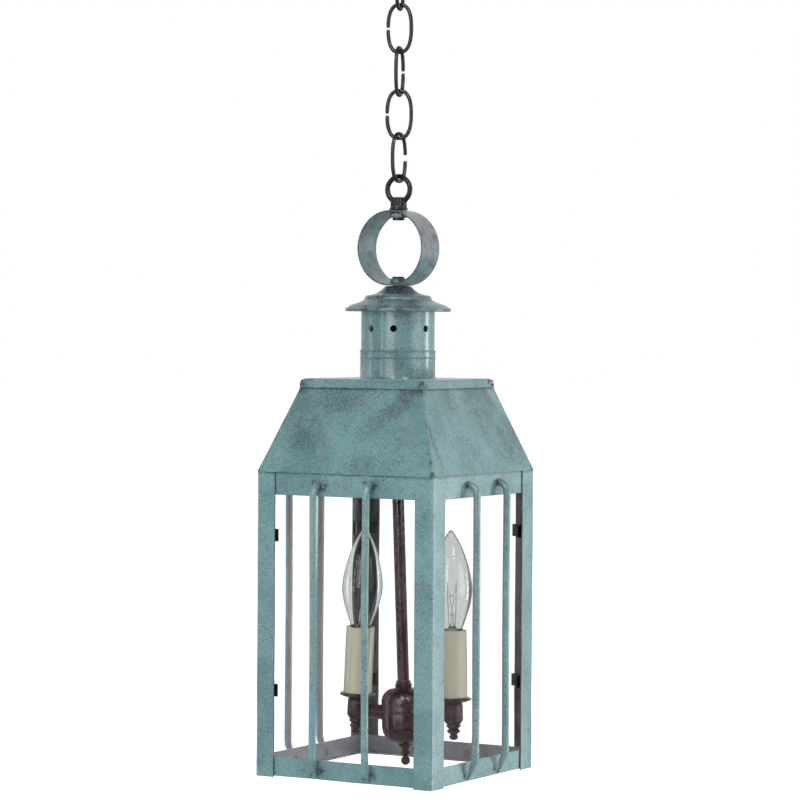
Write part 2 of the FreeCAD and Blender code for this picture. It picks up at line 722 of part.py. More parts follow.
def make_arm(side):
    """A short tube from the cluster to the cup, whose outer end is coped to the cup's barrel."""
    start = -s.candle_reach + s.arm_start
    length = -start
    begin = moved(x=start.value, z=-s.arm_drop.value)
    outer = lying_cylinder(f"arm_{side}_outer", s.arm_dia, length, begin)
    bore = s.arm_dia - s.arm_wall * 2
    inner = lying_cylinder(f"arm_{side}_inner", bore, length + 1, begin * moved(x=-0.5))
    shell = cut(f"arm_{side}_shell", outer, inner)
    barrel = cylinder(f"arm_{side}_cope", s.cup_barrel_dia, -s.arm_dia, s.arm_dia)
    keep(cut("arm_" + side, shell, barrel), "arm_" + side, candle_frame(side))


def make_cup(side):
    """The turned cup that carries a candle: a drip plate, a barrel, and a ringed drop with a ball."""
    plate, barrel = s.cup_plate_dia / 2, s.cup_barrel_dia / 2
    top, plate_foot = s.cup_plate_top, s.cup_plate_top - s.cup_plate
    shoulder, foot = s.cup_barrel_top, -s.cup_barrel_foot
    bore, neck, floor = s.cup_bore / 2, s.cup_neck_dia / 2, -s.cup_floor
    ball, drop = s.cup_ball, -s.cup_drop
    points = [
        (bore, top), (plate - 1.2, top), (plate, top - 1.2), (plate - 1.6, plate_foot), (neck, plate_foot),
        (barrel, shoulder), (barrel, foot), (neck - 0.4, foot - 1.4), (5.7, drop + 13.9), (6.6, drop + 12.3),
        (4.3, drop + 9.9), (6.2, drop + 7.6), (3.1, drop + 4.9), (ball, drop + 2.6), (0.0, drop),
        (0.0, floor), (bore, floor),
    ]
    arcs = {12: (s.cup_throat_round, 1), 13: (s.cup_ball_round, 1)}
    turned_cup = spun(f"cup_{side}_turned", points, arcs)
    way_in = moved(z=-s.arm_drop.value) * turned(180.0)
    wireway = lying_cylinder(f"cup_{side}_wireway", s.cup_wireway, s.cup_barrel_dia, way_in)
    keep(cut("candle_cup_" + side, turned_cup, wireway), "candle_cup_" + side, candle_frame(side))


def make_socket(side):
    """The insulating lamp holder inside a candle sleeve, bored for a small screw base."""
    radius, bore = s.socket_dia / 2, s.socket_bore / 2
    low, high = s.socket_low, s.socket_high
    floor = high - s.socket_depth
    points = [
        (2.2, low), (radius - 1.5, low), (radius - 1.5, low + 8.0), (radius, low + 9.5), (radius, high),
        (bore, high), (bore, floor), (2.2, floor),
    ]
    keep(spun("socket_" + side, points), "socket_" + side, candle_frame(side))


def make_socket_brackets():
    """Tubular brackets that hold each lamp holder above its cup."""
    brackets = []
    for side in CANDLE_LEAN:
        low = s.cup_plate_top - 3.0
        bracket = tube(f"bracket_{side}", s.cup_bore - 0.1, s.cup_bore - 2.5, low, s.socket_low)
        bracket.Placement = LANTERN.inverse() * candle_frame(side)
        brackets.append(bracket)
    keep(grouped("socket_brackets", brackets), "socket_brackets")


def make_sleeve(side):
    """The candle sleeve, a plain tube that stands on the cup around the lamp holder."""
    low = s.cup_plate_top + s.sleeve_gap
    sleeve = tube("candle_sleeve_" + side, s.sleeve_dia, s.sleeve_dia - s.sleeve_wall * 2, low,
                  low + s.sleeve_height)
    keep(sleeve, "candle_sleeve_" + side, candle_frame(side))


def make_bulb(side):
    """A torpedo bulb: a thin glass envelope, open at its neck, and a screw base with a contact button."""
    wide, neck, tip = s.bulb_dia / 2, s.bulb_neck_dia / 2, s.bulb_tip_dia / 2
    low, middle, high = s.bulb_low, s.bulb_wide, s.bulb_tip
    wall = s.bulb_wall
    throat = s.base_dia / 2 - 1.0

    def side_radius(across, along):
        """The radius of an arc that is upright at the bulb's widest level and ends across and along."""
        return (across * across + along * along) / (across * 2)

    upper = side_radius(wide - tip, high - middle)
    inner_low = low + wall * 2
    inner_high = high - wall * 4
    points = [
        (throat, low), (neck - 1.2, low), (neck, low + 1.2), (wide, middle), (tip, high), (0.0, high),
        (0.0, inner_high), (tip, inner_high), (wide - wall, middle), (neck - wall, inner_low),
        (throat, inner_low),
    ]
    arcs = {
        2: (side_radius(wide - neck, middle - low - 1.2), -1),
        3: (upper, -1),
        7: (side_radius(wide - wall - tip, inner_high - middle), 1),
        8: (side_radius(wide - neck, middle - inner_low), 1),
    }
    keep(spun("bulb_glass_" + side, points, arcs), "bulb_glass_" + side, candle_frame(side))

    base = s.base_dia / 2
    foot = low - s.base_length
    points = [
        (0.0, low), (base, low), (base, foot + 3.0), (base - 2.2, foot + 0.8), (1.9, foot + 0.8), (1.9, foot),
        (0.0, foot),
    ]
    keep(spun("bulb_base_" + side, points), "bulb_base_" + side, candle_frame(side))


def make_leads(side):
    """The hook-up lead from the lamp holder, down through the cup and along the arm into the cluster."""
    start = s.socket_low + 8.0
    bend = s.lead_bend
    level = -s.arm_drop
    points = [(0.0, start), (0.0, level + bend), (-bend, level), (-s.candle_reach + s.lead_end, level)]
    lead = bent_rod("socket_lead_" + side, points, {1: (bend, 1)}, s.lead_dia, "XY_Plane", start, (0.0, 0.0))
    keep(lead, "socket_lead_" + side, candle_frame(side))


def make_wire_connectors():
    """Twist-on connectors inside the cluster, one at the end of each lead."""
    connectors = []
    for side in CANDLE_LEAN:
        cone = doc.addObject("Part::Cone", "wire_connector_" + side)
        bind(cone, Radius1=s.lead_dia * 1.6, Radius2=s.lead_dia * 1.1, Height=9.0)
        lead_tip = moved(x=s.lead_end.value - s.candle_reach.value, z=-s.arm_drop.value)
        at_end = lead_tip * turned(-90.0, Y_AXIS)
        cone.Placement = LANTERN.inverse() * candle_frame(side) * at_end
        connectors.append(cone)
    keep(grouped("wire_connectors", connectors), "wire_connectors")


# --- chain ----------------------------------------------------------------------------------------------

def make_chain():
    """Oval wire links from the top one down, each with a butt gap in one leg; the lowest is left open."""
    radius = link_radius
    straight = s.link_length / 2 - s.link_wire / 2 - radius
    for number, turn in enumerate(LINK_TURNS):
        gap = s.open_gap if number == len(LINK_TURNS) - 1 else s.link_gap
        points = [
            (radius, gap / 2),
            (radius, straight),
            (0.0, straight + radius),
            (-radius, straight),
            (-radius, -straight),
            (0.0, -straight - radius),
            (radius, -straight),
            (radius, -gap / 2),
        ]
        arcs = {1: (radius, -1), 2: (radius, -1), 4: (radius, -1), 5: (radius, -1)}
        name = f"chain_link_{number + 1}"
        link = bent_rod(name, points, arcs, s.link_wire, "XY_Plane", gap / 2, (radius, 0.0))
        level = lowest_link.value + link_pitch.value * (len(LINK_TURNS) - 1 - number)
        keep(link, name, LANTERN * moved(z=level) * turned(turn))


# --- the whole lantern ----------------------------------------------------------------------------------

make_chain()
make_posts()
make_rails()
make_guard_bars()
make_glass()
make_glass_clips()
make_roof()
make_roof_tray()
make_chimney()
make_chimney_cap()
make_ring()
make_loop()
make_nipples()
make_lock_nuts()
make_crossbar()
make_pipe()
make_cluster_body()
for hand in CANDLE_LEAN:
    make_arm(hand)
    make_cup(hand)
    make_socket(hand)
    make_sleeve(hand)
    make_bulb(hand)
    make_leads(hand)
make_socket_brackets()
make_wire_connectors()
doc.recompute()

for thing in doc.Objects:
    if "Invalid" in thing.State or "Error" in thing.State:
        raise RuntimeError(f"{thing.Name} failed: {thing.State}")
for thing in parts:
    if thing.Shape.isNull() or not thing.Shape.isValid():
        raise RuntimeError(f"{thing.Label} has no valid shape")

os.makedirs("parts", exist_ok=True)
for thing in parts:
    thing.Shape.exportStep(f"parts/{thing.Label}.step")
print(f"{len(parts)} sub-parts, hanging point {hanging_point.value:.2f} mm above the posts' feet")
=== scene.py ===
"""The looks of the hanging lantern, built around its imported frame.

Shapes are drawn in local millimetres. Levels on the lantern's body are counted from the feet of the
posts, and every place comes from the frame's boxes and joints.
"""
import json
import math

import bmesh
import bpy
from mathutils import Matrix, Vector, noise


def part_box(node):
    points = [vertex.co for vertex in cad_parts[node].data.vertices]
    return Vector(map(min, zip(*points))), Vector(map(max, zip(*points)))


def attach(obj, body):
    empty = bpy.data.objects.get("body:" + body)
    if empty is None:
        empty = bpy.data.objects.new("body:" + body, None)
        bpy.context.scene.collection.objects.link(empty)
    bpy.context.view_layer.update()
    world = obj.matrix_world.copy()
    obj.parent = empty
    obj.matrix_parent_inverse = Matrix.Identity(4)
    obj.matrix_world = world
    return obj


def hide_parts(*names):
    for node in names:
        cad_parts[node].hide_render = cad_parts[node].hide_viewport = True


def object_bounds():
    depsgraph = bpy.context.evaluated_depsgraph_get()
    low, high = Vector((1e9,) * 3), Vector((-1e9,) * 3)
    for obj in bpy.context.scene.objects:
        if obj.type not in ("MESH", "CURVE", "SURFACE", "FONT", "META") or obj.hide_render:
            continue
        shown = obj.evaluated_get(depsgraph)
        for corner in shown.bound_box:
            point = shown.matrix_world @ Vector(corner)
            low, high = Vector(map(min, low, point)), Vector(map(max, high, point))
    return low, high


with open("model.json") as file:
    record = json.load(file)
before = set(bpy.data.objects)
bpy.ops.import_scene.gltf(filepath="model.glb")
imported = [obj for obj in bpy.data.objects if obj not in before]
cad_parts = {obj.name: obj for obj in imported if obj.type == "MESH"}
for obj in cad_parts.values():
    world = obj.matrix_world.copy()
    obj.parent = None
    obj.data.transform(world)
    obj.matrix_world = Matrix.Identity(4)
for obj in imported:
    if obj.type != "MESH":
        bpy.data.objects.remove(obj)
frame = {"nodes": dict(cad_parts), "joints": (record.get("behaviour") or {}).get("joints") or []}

CAD_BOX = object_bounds()

MM = 0.001
FACES = {"front": -90.0, "right": 0.0, "rear": 90.0, "left": 180.0}
CORNERS = {"front_left": (-1, -1), "front_right": (1, -1), "rear_right": (1, 1), "rear_left": (-1, 1)}
SIDES = ("left", "right")


# --- places ---

def centre(node):
    """The middle of a node's box."""
    low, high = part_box(node)
    return (low + high) / 2


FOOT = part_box("corner_post_front_left")[0].z
BASE = Matrix.Translation((0, 0, FOOT))


def levels(node):
    """A node's lowest and highest level above the feet, in millimetres."""
    low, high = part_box(node)
    return (low.z - FOOT) / MM, (high.z - FOOT) / MM


def half_width(node):
    """Half a node's size along X, in millimetres."""
    low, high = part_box(node)
    return (high.x - low.x) / 2 / MM


HALF = -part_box("corner_post_front_left")[0].x / MM
EAVE = levels("corner_post_front_left")[1]
SHEET = 1.3
WALL = HALF - SHEET
JOINTS = {joint["name"]: joint for joint in frame["joints"]}


def turn_z(degrees):
    return Matrix.Rotation(math.radians(degrees), 4, "Z")


def face_frame(face):
    """The frame of one face: X points out of it, Y runs along it and Z counts from the feet."""
    return BASE @ turn_z(FACES[face])


def leaning(origin, axis, turn=0.0):
    """A frame at origin whose Z follows an axis that leans in the XZ plane."""
    return Matrix.Translation(origin) @ Matrix.Rotation(math.atan2(axis.x, axis.z), 4, "Y") @ turn_z(turn)


def cluster_frame():
    """The cluster's own frame: its axis is the pipe's, and its zero is the arms' level."""
    check_ring_level = 25.0
    axis = (centre("stem_pipe") - centre("check_ring")).normalized()
    return leaning(centre("check_ring") - axis * check_ring_level * MM, axis)


def candle_frame(side):
    """One candle's frame: Z is its axis, zero is the arm's level, and the arm runs along -X."""
    sleeve_middle = 42.25
    axis = Vector(JOINTS[f"sleeve_{side}_slide"]["axis"])
    origin = centre("candle_sleeve_" + side) - axis * sleeve_middle * MM
    return leaning(origin, axis, 180.0 if side == "left" else 0.0)


# --- shapes ---

class Shape:
    """A mesh under construction: skins over rows of points in local millimetres."""

    def __init__(self):
        self.points = []
        self.faces = []

    def skin(self, rows, wrap=False, cap=False):
        """Joins rings of points into faces. A ring of one point is a pole."""
        numbered = []
        for row in rows:
            start = len(self.points)
            self.points += [Vector(p) for p in row]
            numbered.append(range(start, start + len(row)))
        pairs = list(zip(numbered, numbered[1:]))
        if wrap:
            pairs.append((numbered[-1], numbered[0]))
        for one, two in pairs:
            count = max(len(one), len(two))
            for k in range(count):
                n = (k + 1) % count
                corners = (one[k % len(one)], one[n % len(one)], two[n % len(two)], two[k % len(two)])
                face = list(dict.fromkeys(corners))
                if len(face) > 2:
                    self.faces.append(face)
        if cap:
            self.faces += [list(row) for row in (numbered[0], numbered[-1]) if len(row) > 2]
        return self

    def make(self, name, place, sharp=38.0):
        """Turns the shape into an object whose points are in the row's frame, in metres."""
        mesh = bpy.data.meshes.new(name)
        mesh.from_pydata([place @ (p * MM) for p in self.points], [], self.faces)
        shape = bmesh.new()
        shape.from_mesh(mesh)
        bmesh.ops.recalc_face_normals(shape, faces=shape.faces)
        shape.to_mesh(mesh)
        shape.free()
        mesh.shade_smooth()
        mesh.set_sharp_from_angle(angle=math.radians(sharp))
        piece = bpy.data.objects.new(name, mesh)
        bpy.context.scene.collection.objects.link(piece)
        return piece


def rounded(outline, closed=True, fine=12.0):
    """Rounds the corners of an outline given as (a, b) or (a, b, radius)."""
    points = [Vector(p[:2]) for p in outline]
    radii = [p[2] if len(p) > 2 else 0.0 for p in outline]
    result = []
    for k, corner in enumerate(points):
        ends = k in (0, len(points) - 1) and not closed
        if ends or not radii[k]:
            result.append(tuple(corner))
            continue
        back = points[k - 1] - corner
        ahead = points[(k + 1) % len(points)] - corner
        half = back.angle(ahead) / 2
        reach = min(radii[k] / math.tan(half), back.length * 0.48, ahead.length * 0.48)
        start, end = corner + back.normalized() * reach, corner + ahead.normalized() * reach
        bow = reach * math.tan(half)
        middle = corner + (back.normalized() + ahead.normalized()).normalized() * math.hypot(reach, bow)
        first, last = start - middle, end - middle
        sweep = math.pi - half * 2
        count = max(2, math.ceil(math.degrees(sweep) / fine))
        way = 1.0 if first.x * last.y - first.y * last.x > 0 else -1.0
        for step in range(count + 1):
            angle = way * sweep * step / count
            x = first.x * math.cos(angle) - first.y * math.sin(angle)
            y = first.x * math.sin(angle) + first.y * math.cos(angle)
            result.append((middle.x + x, middle.y + y))
    return result


def arc(x, y, radius, start, end, count=12):
    """Points on a circle's arc, between two angles in degrees."""
    steps = [math.radians(start + (end - start) * k / count) for k in range(count + 1)]
    return [(x + radius * math.cos(a), y + radius * math.sin(a)) for a in steps]


def divided(outline, step, closed=True):
    """Adds points along an outline's long edges."""
    result = []
    count = len(outline) if closed else len(outline) - 1
    for k in range(count):
        a, b = Vector(outline[k]), Vector(outline[(k + 1) % len(outline)])
        parts = max(1, round((b - a).length / step))
        result += [tuple(a.lerp(b, n / parts)) for n in range(parts)]
    return result if closed else result + [tuple(outline[-1])]


def turned(outline, steps=96, shape=None):
    """Rows of a turned shape: each (radius, height) point makes a circle about Z, or a pole."""
    rows = []
    for radius, height in outline:
        if radius < 0.001:
            rows.append([(0.0, 0.0, height)])
            continue
        row = []
        for k in range(steps):
            angle = math.tau * k / steps
            across = radius + (shape(angle, height) if shape else 0.0)
            row.append((across * math.cos(angle), across * math.sin(angle), height))
        rows.append(row)
    return rows


def swept(path, flat, section, count=20):
    """Rows of a rod along a path that lies in a plane, whose normal is flat.
    section gives the rod's two radii at each point: within the plane, and across it."""
    flat = Vector(flat)
    path = [Vector(p) for p in path]
    rows = []
    for k, point in enumerate(path):
        ahead = (path[min(k + 1, len(path) - 1)] - path[max(k - 1, 0)]).normalized()
        side = ahead.cross(flat).normalized()
        within, across = section(k / (len(path) - 1), point)
        row = []
        for n in range(count):
            angle = math.tau * n / count
            row.append(point + side * within * math.cos(angle) + flat * across * math.sin(angle))
        rows.append(row)
    return rows


def stacked(outline, stations, axes="xyz"):
    """Rows of a straight bar: an outline of (a, b) repeated at stations along c."""
    order = ["xyz".index(axis) for axis in axes]
    rows = []
    for station in stations:
        row = []
        for a, b in outline:
            point = [0.0, 0.0, 0.0]
            for value, place in zip((a, b, station), order):
                point[place] = value
            row.append(tuple(point))
        rows.append(row)
    return rows


def spread(low, high, step):
    """Evenly spaced numbers from low to high, about step apart."""
    count = max(1, round(abs(high - low) / step))
    return [low + (high - low) * k / count for k in range(count + 1)]


def ripple(point, size, seed):
    """Smooth noise about zero at a point in metres, with features about size millimetres wide."""
    return noise.noise(Vector(point) / (size * MM) + Vector((seed * 7.31, seed * 3.17, seed * 5.77)))


def wobble(piece, direction, amount, size, seed):
    """Bends a sheet a little out of true along one direction, the same way through its thickness."""
    direction = Vector(direction).normalized()
    for vertex in piece.data.vertices:
        flat = vertex.co - direction * vertex.co.dot(direction)
        vertex.co += direction * amount * MM * ripple(flat, size, seed)
    piece.data.update()


def paint(piece, name, value):
    """Writes a number on each point, worked out from its place and its normal."""
    layer = piece.data.attributes.new(name, "FLOAT", "POINT")
    normals = piece.data.vertex_normals
    for k, vertex in enumerate(piece.data.vertices):
        layer.data[k].value = value(vertex.co, normals[k].vector)


def smooth_step(value, low, high):
    t = min(max((value - low) / (high - low), 0.0), 1.0)
    return t * t * (3 - 2 * t)


def outward_of(angle):
    return Vector((math.cos(math.radians(angle)), math.sin(math.radians(angle)), 0.0))


# --- materials ---

class Nodes:
    """A builder for the nodes of one tree."""

    def __init__(self, tree):
        self.tree = tree

    def put(self, socket, value):
        if isinstance(value, bpy.types.NodeSocket):
            self.tree.links.new(value, socket)
        elif isinstance(value, tuple) and len(value) == 3 and socket.type == "RGBA":
            socket.default_value = (*value, 1.0)
        else:
            socket.default_value = value

    def add(self, kind, inputs=None, **settings):
        """Adds a node. inputs gives its sockets' values by name or by number."""
        made = self.tree.nodes.new("ShaderNode" + kind)
        for name, value in settings.items():
            setattr(made, name, value)
        for name, value in (inputs or {}).items():
            self.put(made.inputs[name], value)
        return made

    def range(self, value, low, high, to_low=0.0, to_high=1.0):
        """Goes smoothly from to_low to to_high while value goes from low to high."""
        inputs = {"Value": value, "From Min": low, "From Max": high, "To Min": to_low, "To Max": to_high}
        return self.add("MapRange", inputs, interpolation_type="SMOOTHSTEP").outputs["Result"]

    def calc(self, operation, first, second, clamp=False):
        return self.add("Math", {0: first, 1: second}, operation=operation, use_clamp=clamp).outputs[0]

    def dot(self, first, second):
        return self.add("VectorMath", {0: first, 1: second}, operation="DOT_PRODUCT").outputs["Value"]

    def bounces(self):
        """How often a ray has bounced, not counting its ways through glass."""
        ray = self.add("LightPath").outputs
        return self.calc("SUBTRACT", ray["Ray Depth"], ray["Transmission Depth"])


class Shader(Nodes):
    """A builder for one material's nodes, around its Principled shader."""

    def __init__(self, name):
        self.material = bpy.data.materials.new(name)
        self.material.use_nodes = True
        super().__init__(self.material.node_tree)
        self.surface = self.tree.nodes["Principled BSDF"]
        self.place = self.add("TexCoord").outputs["Object"]

    def finish(self, **values):
        """Sets the shader's own sockets: underscores in a name stand for spaces."""
        for name, value in values.items():
            self.put(self.surface.inputs[name.replace("_", " ")], value)
        return self.material

    def grain(self, size, detail=2.0, rough=0.5, stretch=(1.0, 1.0, 1.0), shift=0.0, bend=0.0):
        """Noise with features of about size millimetres."""
        moved = self.add("Mapping", {"Vector": self.place, "Scale": stretch,
                                     "Location": (shift, shift * 0.7, 0.0)})
        return self.add("TexNoise", {"Vector": moved.outputs[0], "Scale": 1 / (size * MM), "Detail": detail,
                                     "Roughness": rough, "Distortion": bend}).outputs["Fac"]

    def patches(self, grain, low, high, to_low=0.0, to_high=1.0, **settings):
        """Grain of a given size, detail and roughness, cut off smoothly at low and high."""
        return self.range(self.grain(*grain, **settings), low, high, to_low, to_high)

    def mix(self, amount, first, second):
        return self.add("Mix", {0: amount, 6: first, 7: second}, data_type="RGBA").outputs[2]

    def cover(self, under, colour, amount, strength):
        """Lays a colour over another one, strength times the amount."""
        return self.mix(self.calc("MULTIPLY", amount, strength), under, colour)

    def mark(self, name):
        """A number painted on the piece's points, zero where there is none."""
        return self.add("Attribute", attribute_name=name).outputs["Fac"]

    def bump(self, height, depth, under=None):
        """A bump of depth millimetres, over another one if given."""
        inputs = {"Height": height, "Distance": depth * MM, "Strength": 1.0}
        if under:
            inputs["Normal"] = under
        return self.add("Bump", inputs).outputs["Normal"]

    def edges(self, radius):
        """One along outer edges and inner corners, zero on open faces."""
        bevel = self.add("Bevel", {"Radius": radius * MM}, samples=4).outputs[0]
        return self.range(self.dot(bevel, self.add("NewGeometry").outputs["Normal"]), 0.99, 0.86)

    def occlusion_shade(self, reach):
        """An ambient-occlusion mask for painted shade: one deep in corners and seams, zero in the open."""
        shade = self.add("AmbientOcclusion", {"Distance": reach * MM}, samples=6)
        return self.range(shade.outputs["AO"], 0.82, 0.25)

    def facing_axis(self):
        """One on surfaces that face the lantern's upright axis, zero on those that face away."""
        flat = self.add("VectorMath", {0: self.place, 1: (1.0, 1.0, 0.0)}, operation="MULTIPLY").outputs[0]
        outward = self.add("VectorMath", {0: flat}, operation="NORMALIZE").outputs[0]
        return self.range(self.dot(outward, self.add("TexCoord").outputs["Normal"]), 0.3, -0.3)


def verdigris(name, tube=False):
    """Brass sheet under a mottled blue-green patina, with painted shade in its seams, and bare mauve-grey
    inside.
    With tube, the inside is every surface that faces the lantern's axis; else it is painted on."""
    teal, deep = (0.225, 0.43, 0.45), (0.165, 0.345, 0.365)
    grey, slate = (0.255, 0.335, 0.37), (0.055, 0.105, 0.12)
    pale, soot_and_shade = (0.46, 0.66, 0.67), (0.016, 0.022, 0.026)
    lilac = (0.078, 0.088, 0.108)
    rubbed, bare, bare_dark = (0.255, 0.25, 0.285), (0.085, 0.078, 0.094), (0.024, 0.02, 0.028)
    s = Shader(name)
    zone = s.patches((24, 3.0, 0.6), 0.40, 0.62, shift=0.53)
    soil = 0.75 if tube else s.mark("soil")
    # Clouds of blue and grey, and darker blotches.
    colour = s.mix(s.patches((48, 3.0, 0.55), 0.42, 0.62, shift=0.11, bend=0.4), teal, deep)
    colour = s.cover(colour, grey, s.patches((22, 4.0, 0.62), 0.53, 0.68, shift=0.37, bend=0.6), 0.55)
    colour = s.cover(colour, slate, s.patches((4.5, 3.0, 0.68), 0.57, 0.66, shift=0.19, bend=0.8), 0.34)
    # Dark specks, which are dense in some zones and where the soil is painted.
    fleck = s.grain(1.3, 3.0, 0.7, shift=0.71)
    level = s.calc("SUBTRACT", s.range(zone, 0.0, 1.0, 0.66, 0.56), s.calc("MULTIPLY", soil, 0.095))
    spots = s.range(s.calc("SUBTRACT", fleck, level), 0.0, 0.05)
    colour = s.cover(colour, slate, spots, 0.66)
    colour = s.cover(colour, slate, soil, 0.3)
    grit = s.patches((1.6, 2.0, 0.65), 0.45, 0.62, shift=0.47)
    colour = s.cover(colour, slate, grit, s.range(zone, 0.0, 1.0, 0.26, 0.44))
    colour = s.cover(colour, pale, s.patches((1.5, 2.0, 0.6), 0.6, 0.7, shift=0.91), 0.5)
    # Smoky streaks, a dark wash near edges, and edges lightened: partly wear, partly a painted highlight.
    smoke = s.patches((3.4, 4.0, 0.7), 0.36, 0.6, 0.35, 1.0, shift=0.29)
    colour = s.cover(colour, lilac, s.mark("smear"), smoke)
    wash = s.patches((7, 3.0, 0.6), 0.36, 0.6, 0.2, 0.62, shift=0.59)
    colour = s.cover(colour, slate, s.edges(1.5), wash)
    # Edge wear and a painted highlight: the edges are lightened towards the pale colour.
    worn = s.calc("MULTIPLY", s.edges(0.5), s.patches((6, 3.0, 0.6), 0.38, 0.62, shift=0.23))
    colour = s.cover(colour, pale, worn, 0.5)
    # The inside: rubbed half-way, and bare where the mark is full.
    inside = s.facing_axis() if tube else s.mark("inside")
    streaks = s.patches((9, 4.0, 0.6), 0.4, 0.65, stretch=(1.0, 1.0, 0.25), shift=0.67)
    colour = s.mix(s.range(inside, 0.0, 0.5), colour, rubbed)
    colour = s.mix(s.range(inside, 0.5, 1.0), colour, s.mix(streaks, bare, bare_dark))
    # Painted shade in the seams, from an ambient-occlusion mask; and soot, solder burns and painted shadow
    # lines where the stain-and-shade mark is painted.
    seam_shade = s.calc("MULTIPLY", s.occlusion_shade(3.0), s.patches((4, 3.0, 0.6), 0.3, 0.6, 0.5, 1.0, shift=0.43))
    stain_and_shade = s.calc("MULTIPLY", s.mark("stain_and_shade"), s.patches((2.6, 3.0, 0.7), 0.36, 0.56, shift=0.83))
    colour = s.mix(s.calc("MAXIMUM", seam_shade, stain_and_shade, clamp=True), colour, soot_and_shade)
    relief = s.bump(fleck, 0.06, s.bump(s.grain(34, 2.0, 0.5, shift=0.3), 0.35))
    return s.finish(Base_Color=colour, Roughness=s.range(spots, 0.0, 1.0, 0.34, 0.5), Normal=relief,
                    Specular_IOR_Level=0.5, Coat_Weight=0.42 if tube else 0.35, Coat_Roughness=0.12,
                    Sheen_Weight=0.22, Sheen_Roughness=0.4)


def dark_metal(name, dark, light, rough, size, coat):
    """Blackened or bronzed metal: a dark finish, thinner and lighter along the edges."""
    s = Shader(name)
    cloud = s.patches((size, 4.0, 0.6), 0.38, 0.66, shift=0.4)
    fine = s.grain(size / 9, 3.0, 0.7, shift=0.8)
    colour = s.mix(cloud, dark, tuple(c * 1.6 for c in dark))
    colour = s.cover(colour, light, s.range(fine, 0.56, 0.7), 0.16)
    colour = s.cover(colour, light, s.edges(0.5), 0.55)
    relief = s.bump(fine, 0.02, s.bump(s.grain(size * 0.8, 2.0, 0.5, shift=0.2), 0.12))
    return s.finish(Base_Color=colour, Roughness=s.range(cloud, 0.0, 1.0, rough, rough + 0.14),
                    Normal=relief, Metallic=0.25, Coat_Weight=coat, Coat_Roughness=0.12)


def bright_metal(name, light, dark, rough, size):
    """Plated steel or brass with fine drawing lines and a dull bloom."""
    s = Shader(name)
    bloom = s.patches((size, 3.0, 0.6), 0.4, 0.68, shift=0.6)
    lines = s.grain(0.5, 2.0, 0.6, stretch=(1.0, 1.0, 8.0), shift=0.2)
    return s.finish(Base_Color=s.mix(bloom, light, dark), Metallic=1.0, Normal=s.bump(lines, 0.01),
                    Roughness=s.range(lines, 0.3, 0.7, rough, rough + 0.18))


def candle_plastic():
    """Cream moulded plastic, a little yellowed, with faint mould waves and dust."""
    s = Shader("candle_plastic")
    age = s.patches((30, 3.0, 0.55), 0.35, 0.7, stretch=(1.0, 1.0, 0.4), shift=0.3)
    dust = s.patches((1.2, 3.0, 0.7), 0.6, 0.75, shift=0.5)
    colour = s.mix(age, (0.40, 0.375, 0.295), (0.345, 0.315, 0.24))
    colour = s.cover(colour, (0.20, 0.18, 0.14), dust, 0.15)
    # Painted shade: an ambient-occlusion mask darkens the hollows.
    colour = s.cover(colour, (0.12, 0.10, 0.07), s.occlusion_shade(2.5), 0.5)
    relief = s.bump(s.grain(14, 2.0, 0.5, stretch=(1.0, 1.0, 0.3)), 0.15)
    return s.finish(Base_Color=colour, Roughness=s.range(dust, 0.0, 1.0, 0.26, 0.4), Normal=relief,
                    Subsurface_Weight=0.08, Subsurface_Radius=(0.004, 0.003, 0.002))


def moulded(name, colour, shade, rough, size):
    """A small moulded part in dull plastic or rubber."""
    s = Shader(name)
    cloud = s.patches((size, 3.0, 0.6), 0.4, 0.65, shift=0.4)
    fine = s.grain(size / 10, 2.0, 0.6, shift=0.7)
    return s.finish(Base_Color=s.mix(cloud, colour, shade), Normal=s.bump(fine, 0.03),
                    Roughness=s.range(fine, 0.3, 0.7, rough, rough + 0.15))


def glass(name, tint, rough=0.01, ior=1.46, shine=0.0):
    """Clear glass, slightly uneven. shine adds to what its surface mirrors."""
    s = Shader(name)
    return s.finish(Base_Color=tint, Roughness=rough, IOR=ior, Transmission_Weight=1.0, Coat_Weight=shine,
                    Coat_Roughness=0.02, Coat_IOR=1.5, Normal=s.bump(s.grain(60, 1.0, 0.4), 0.02))


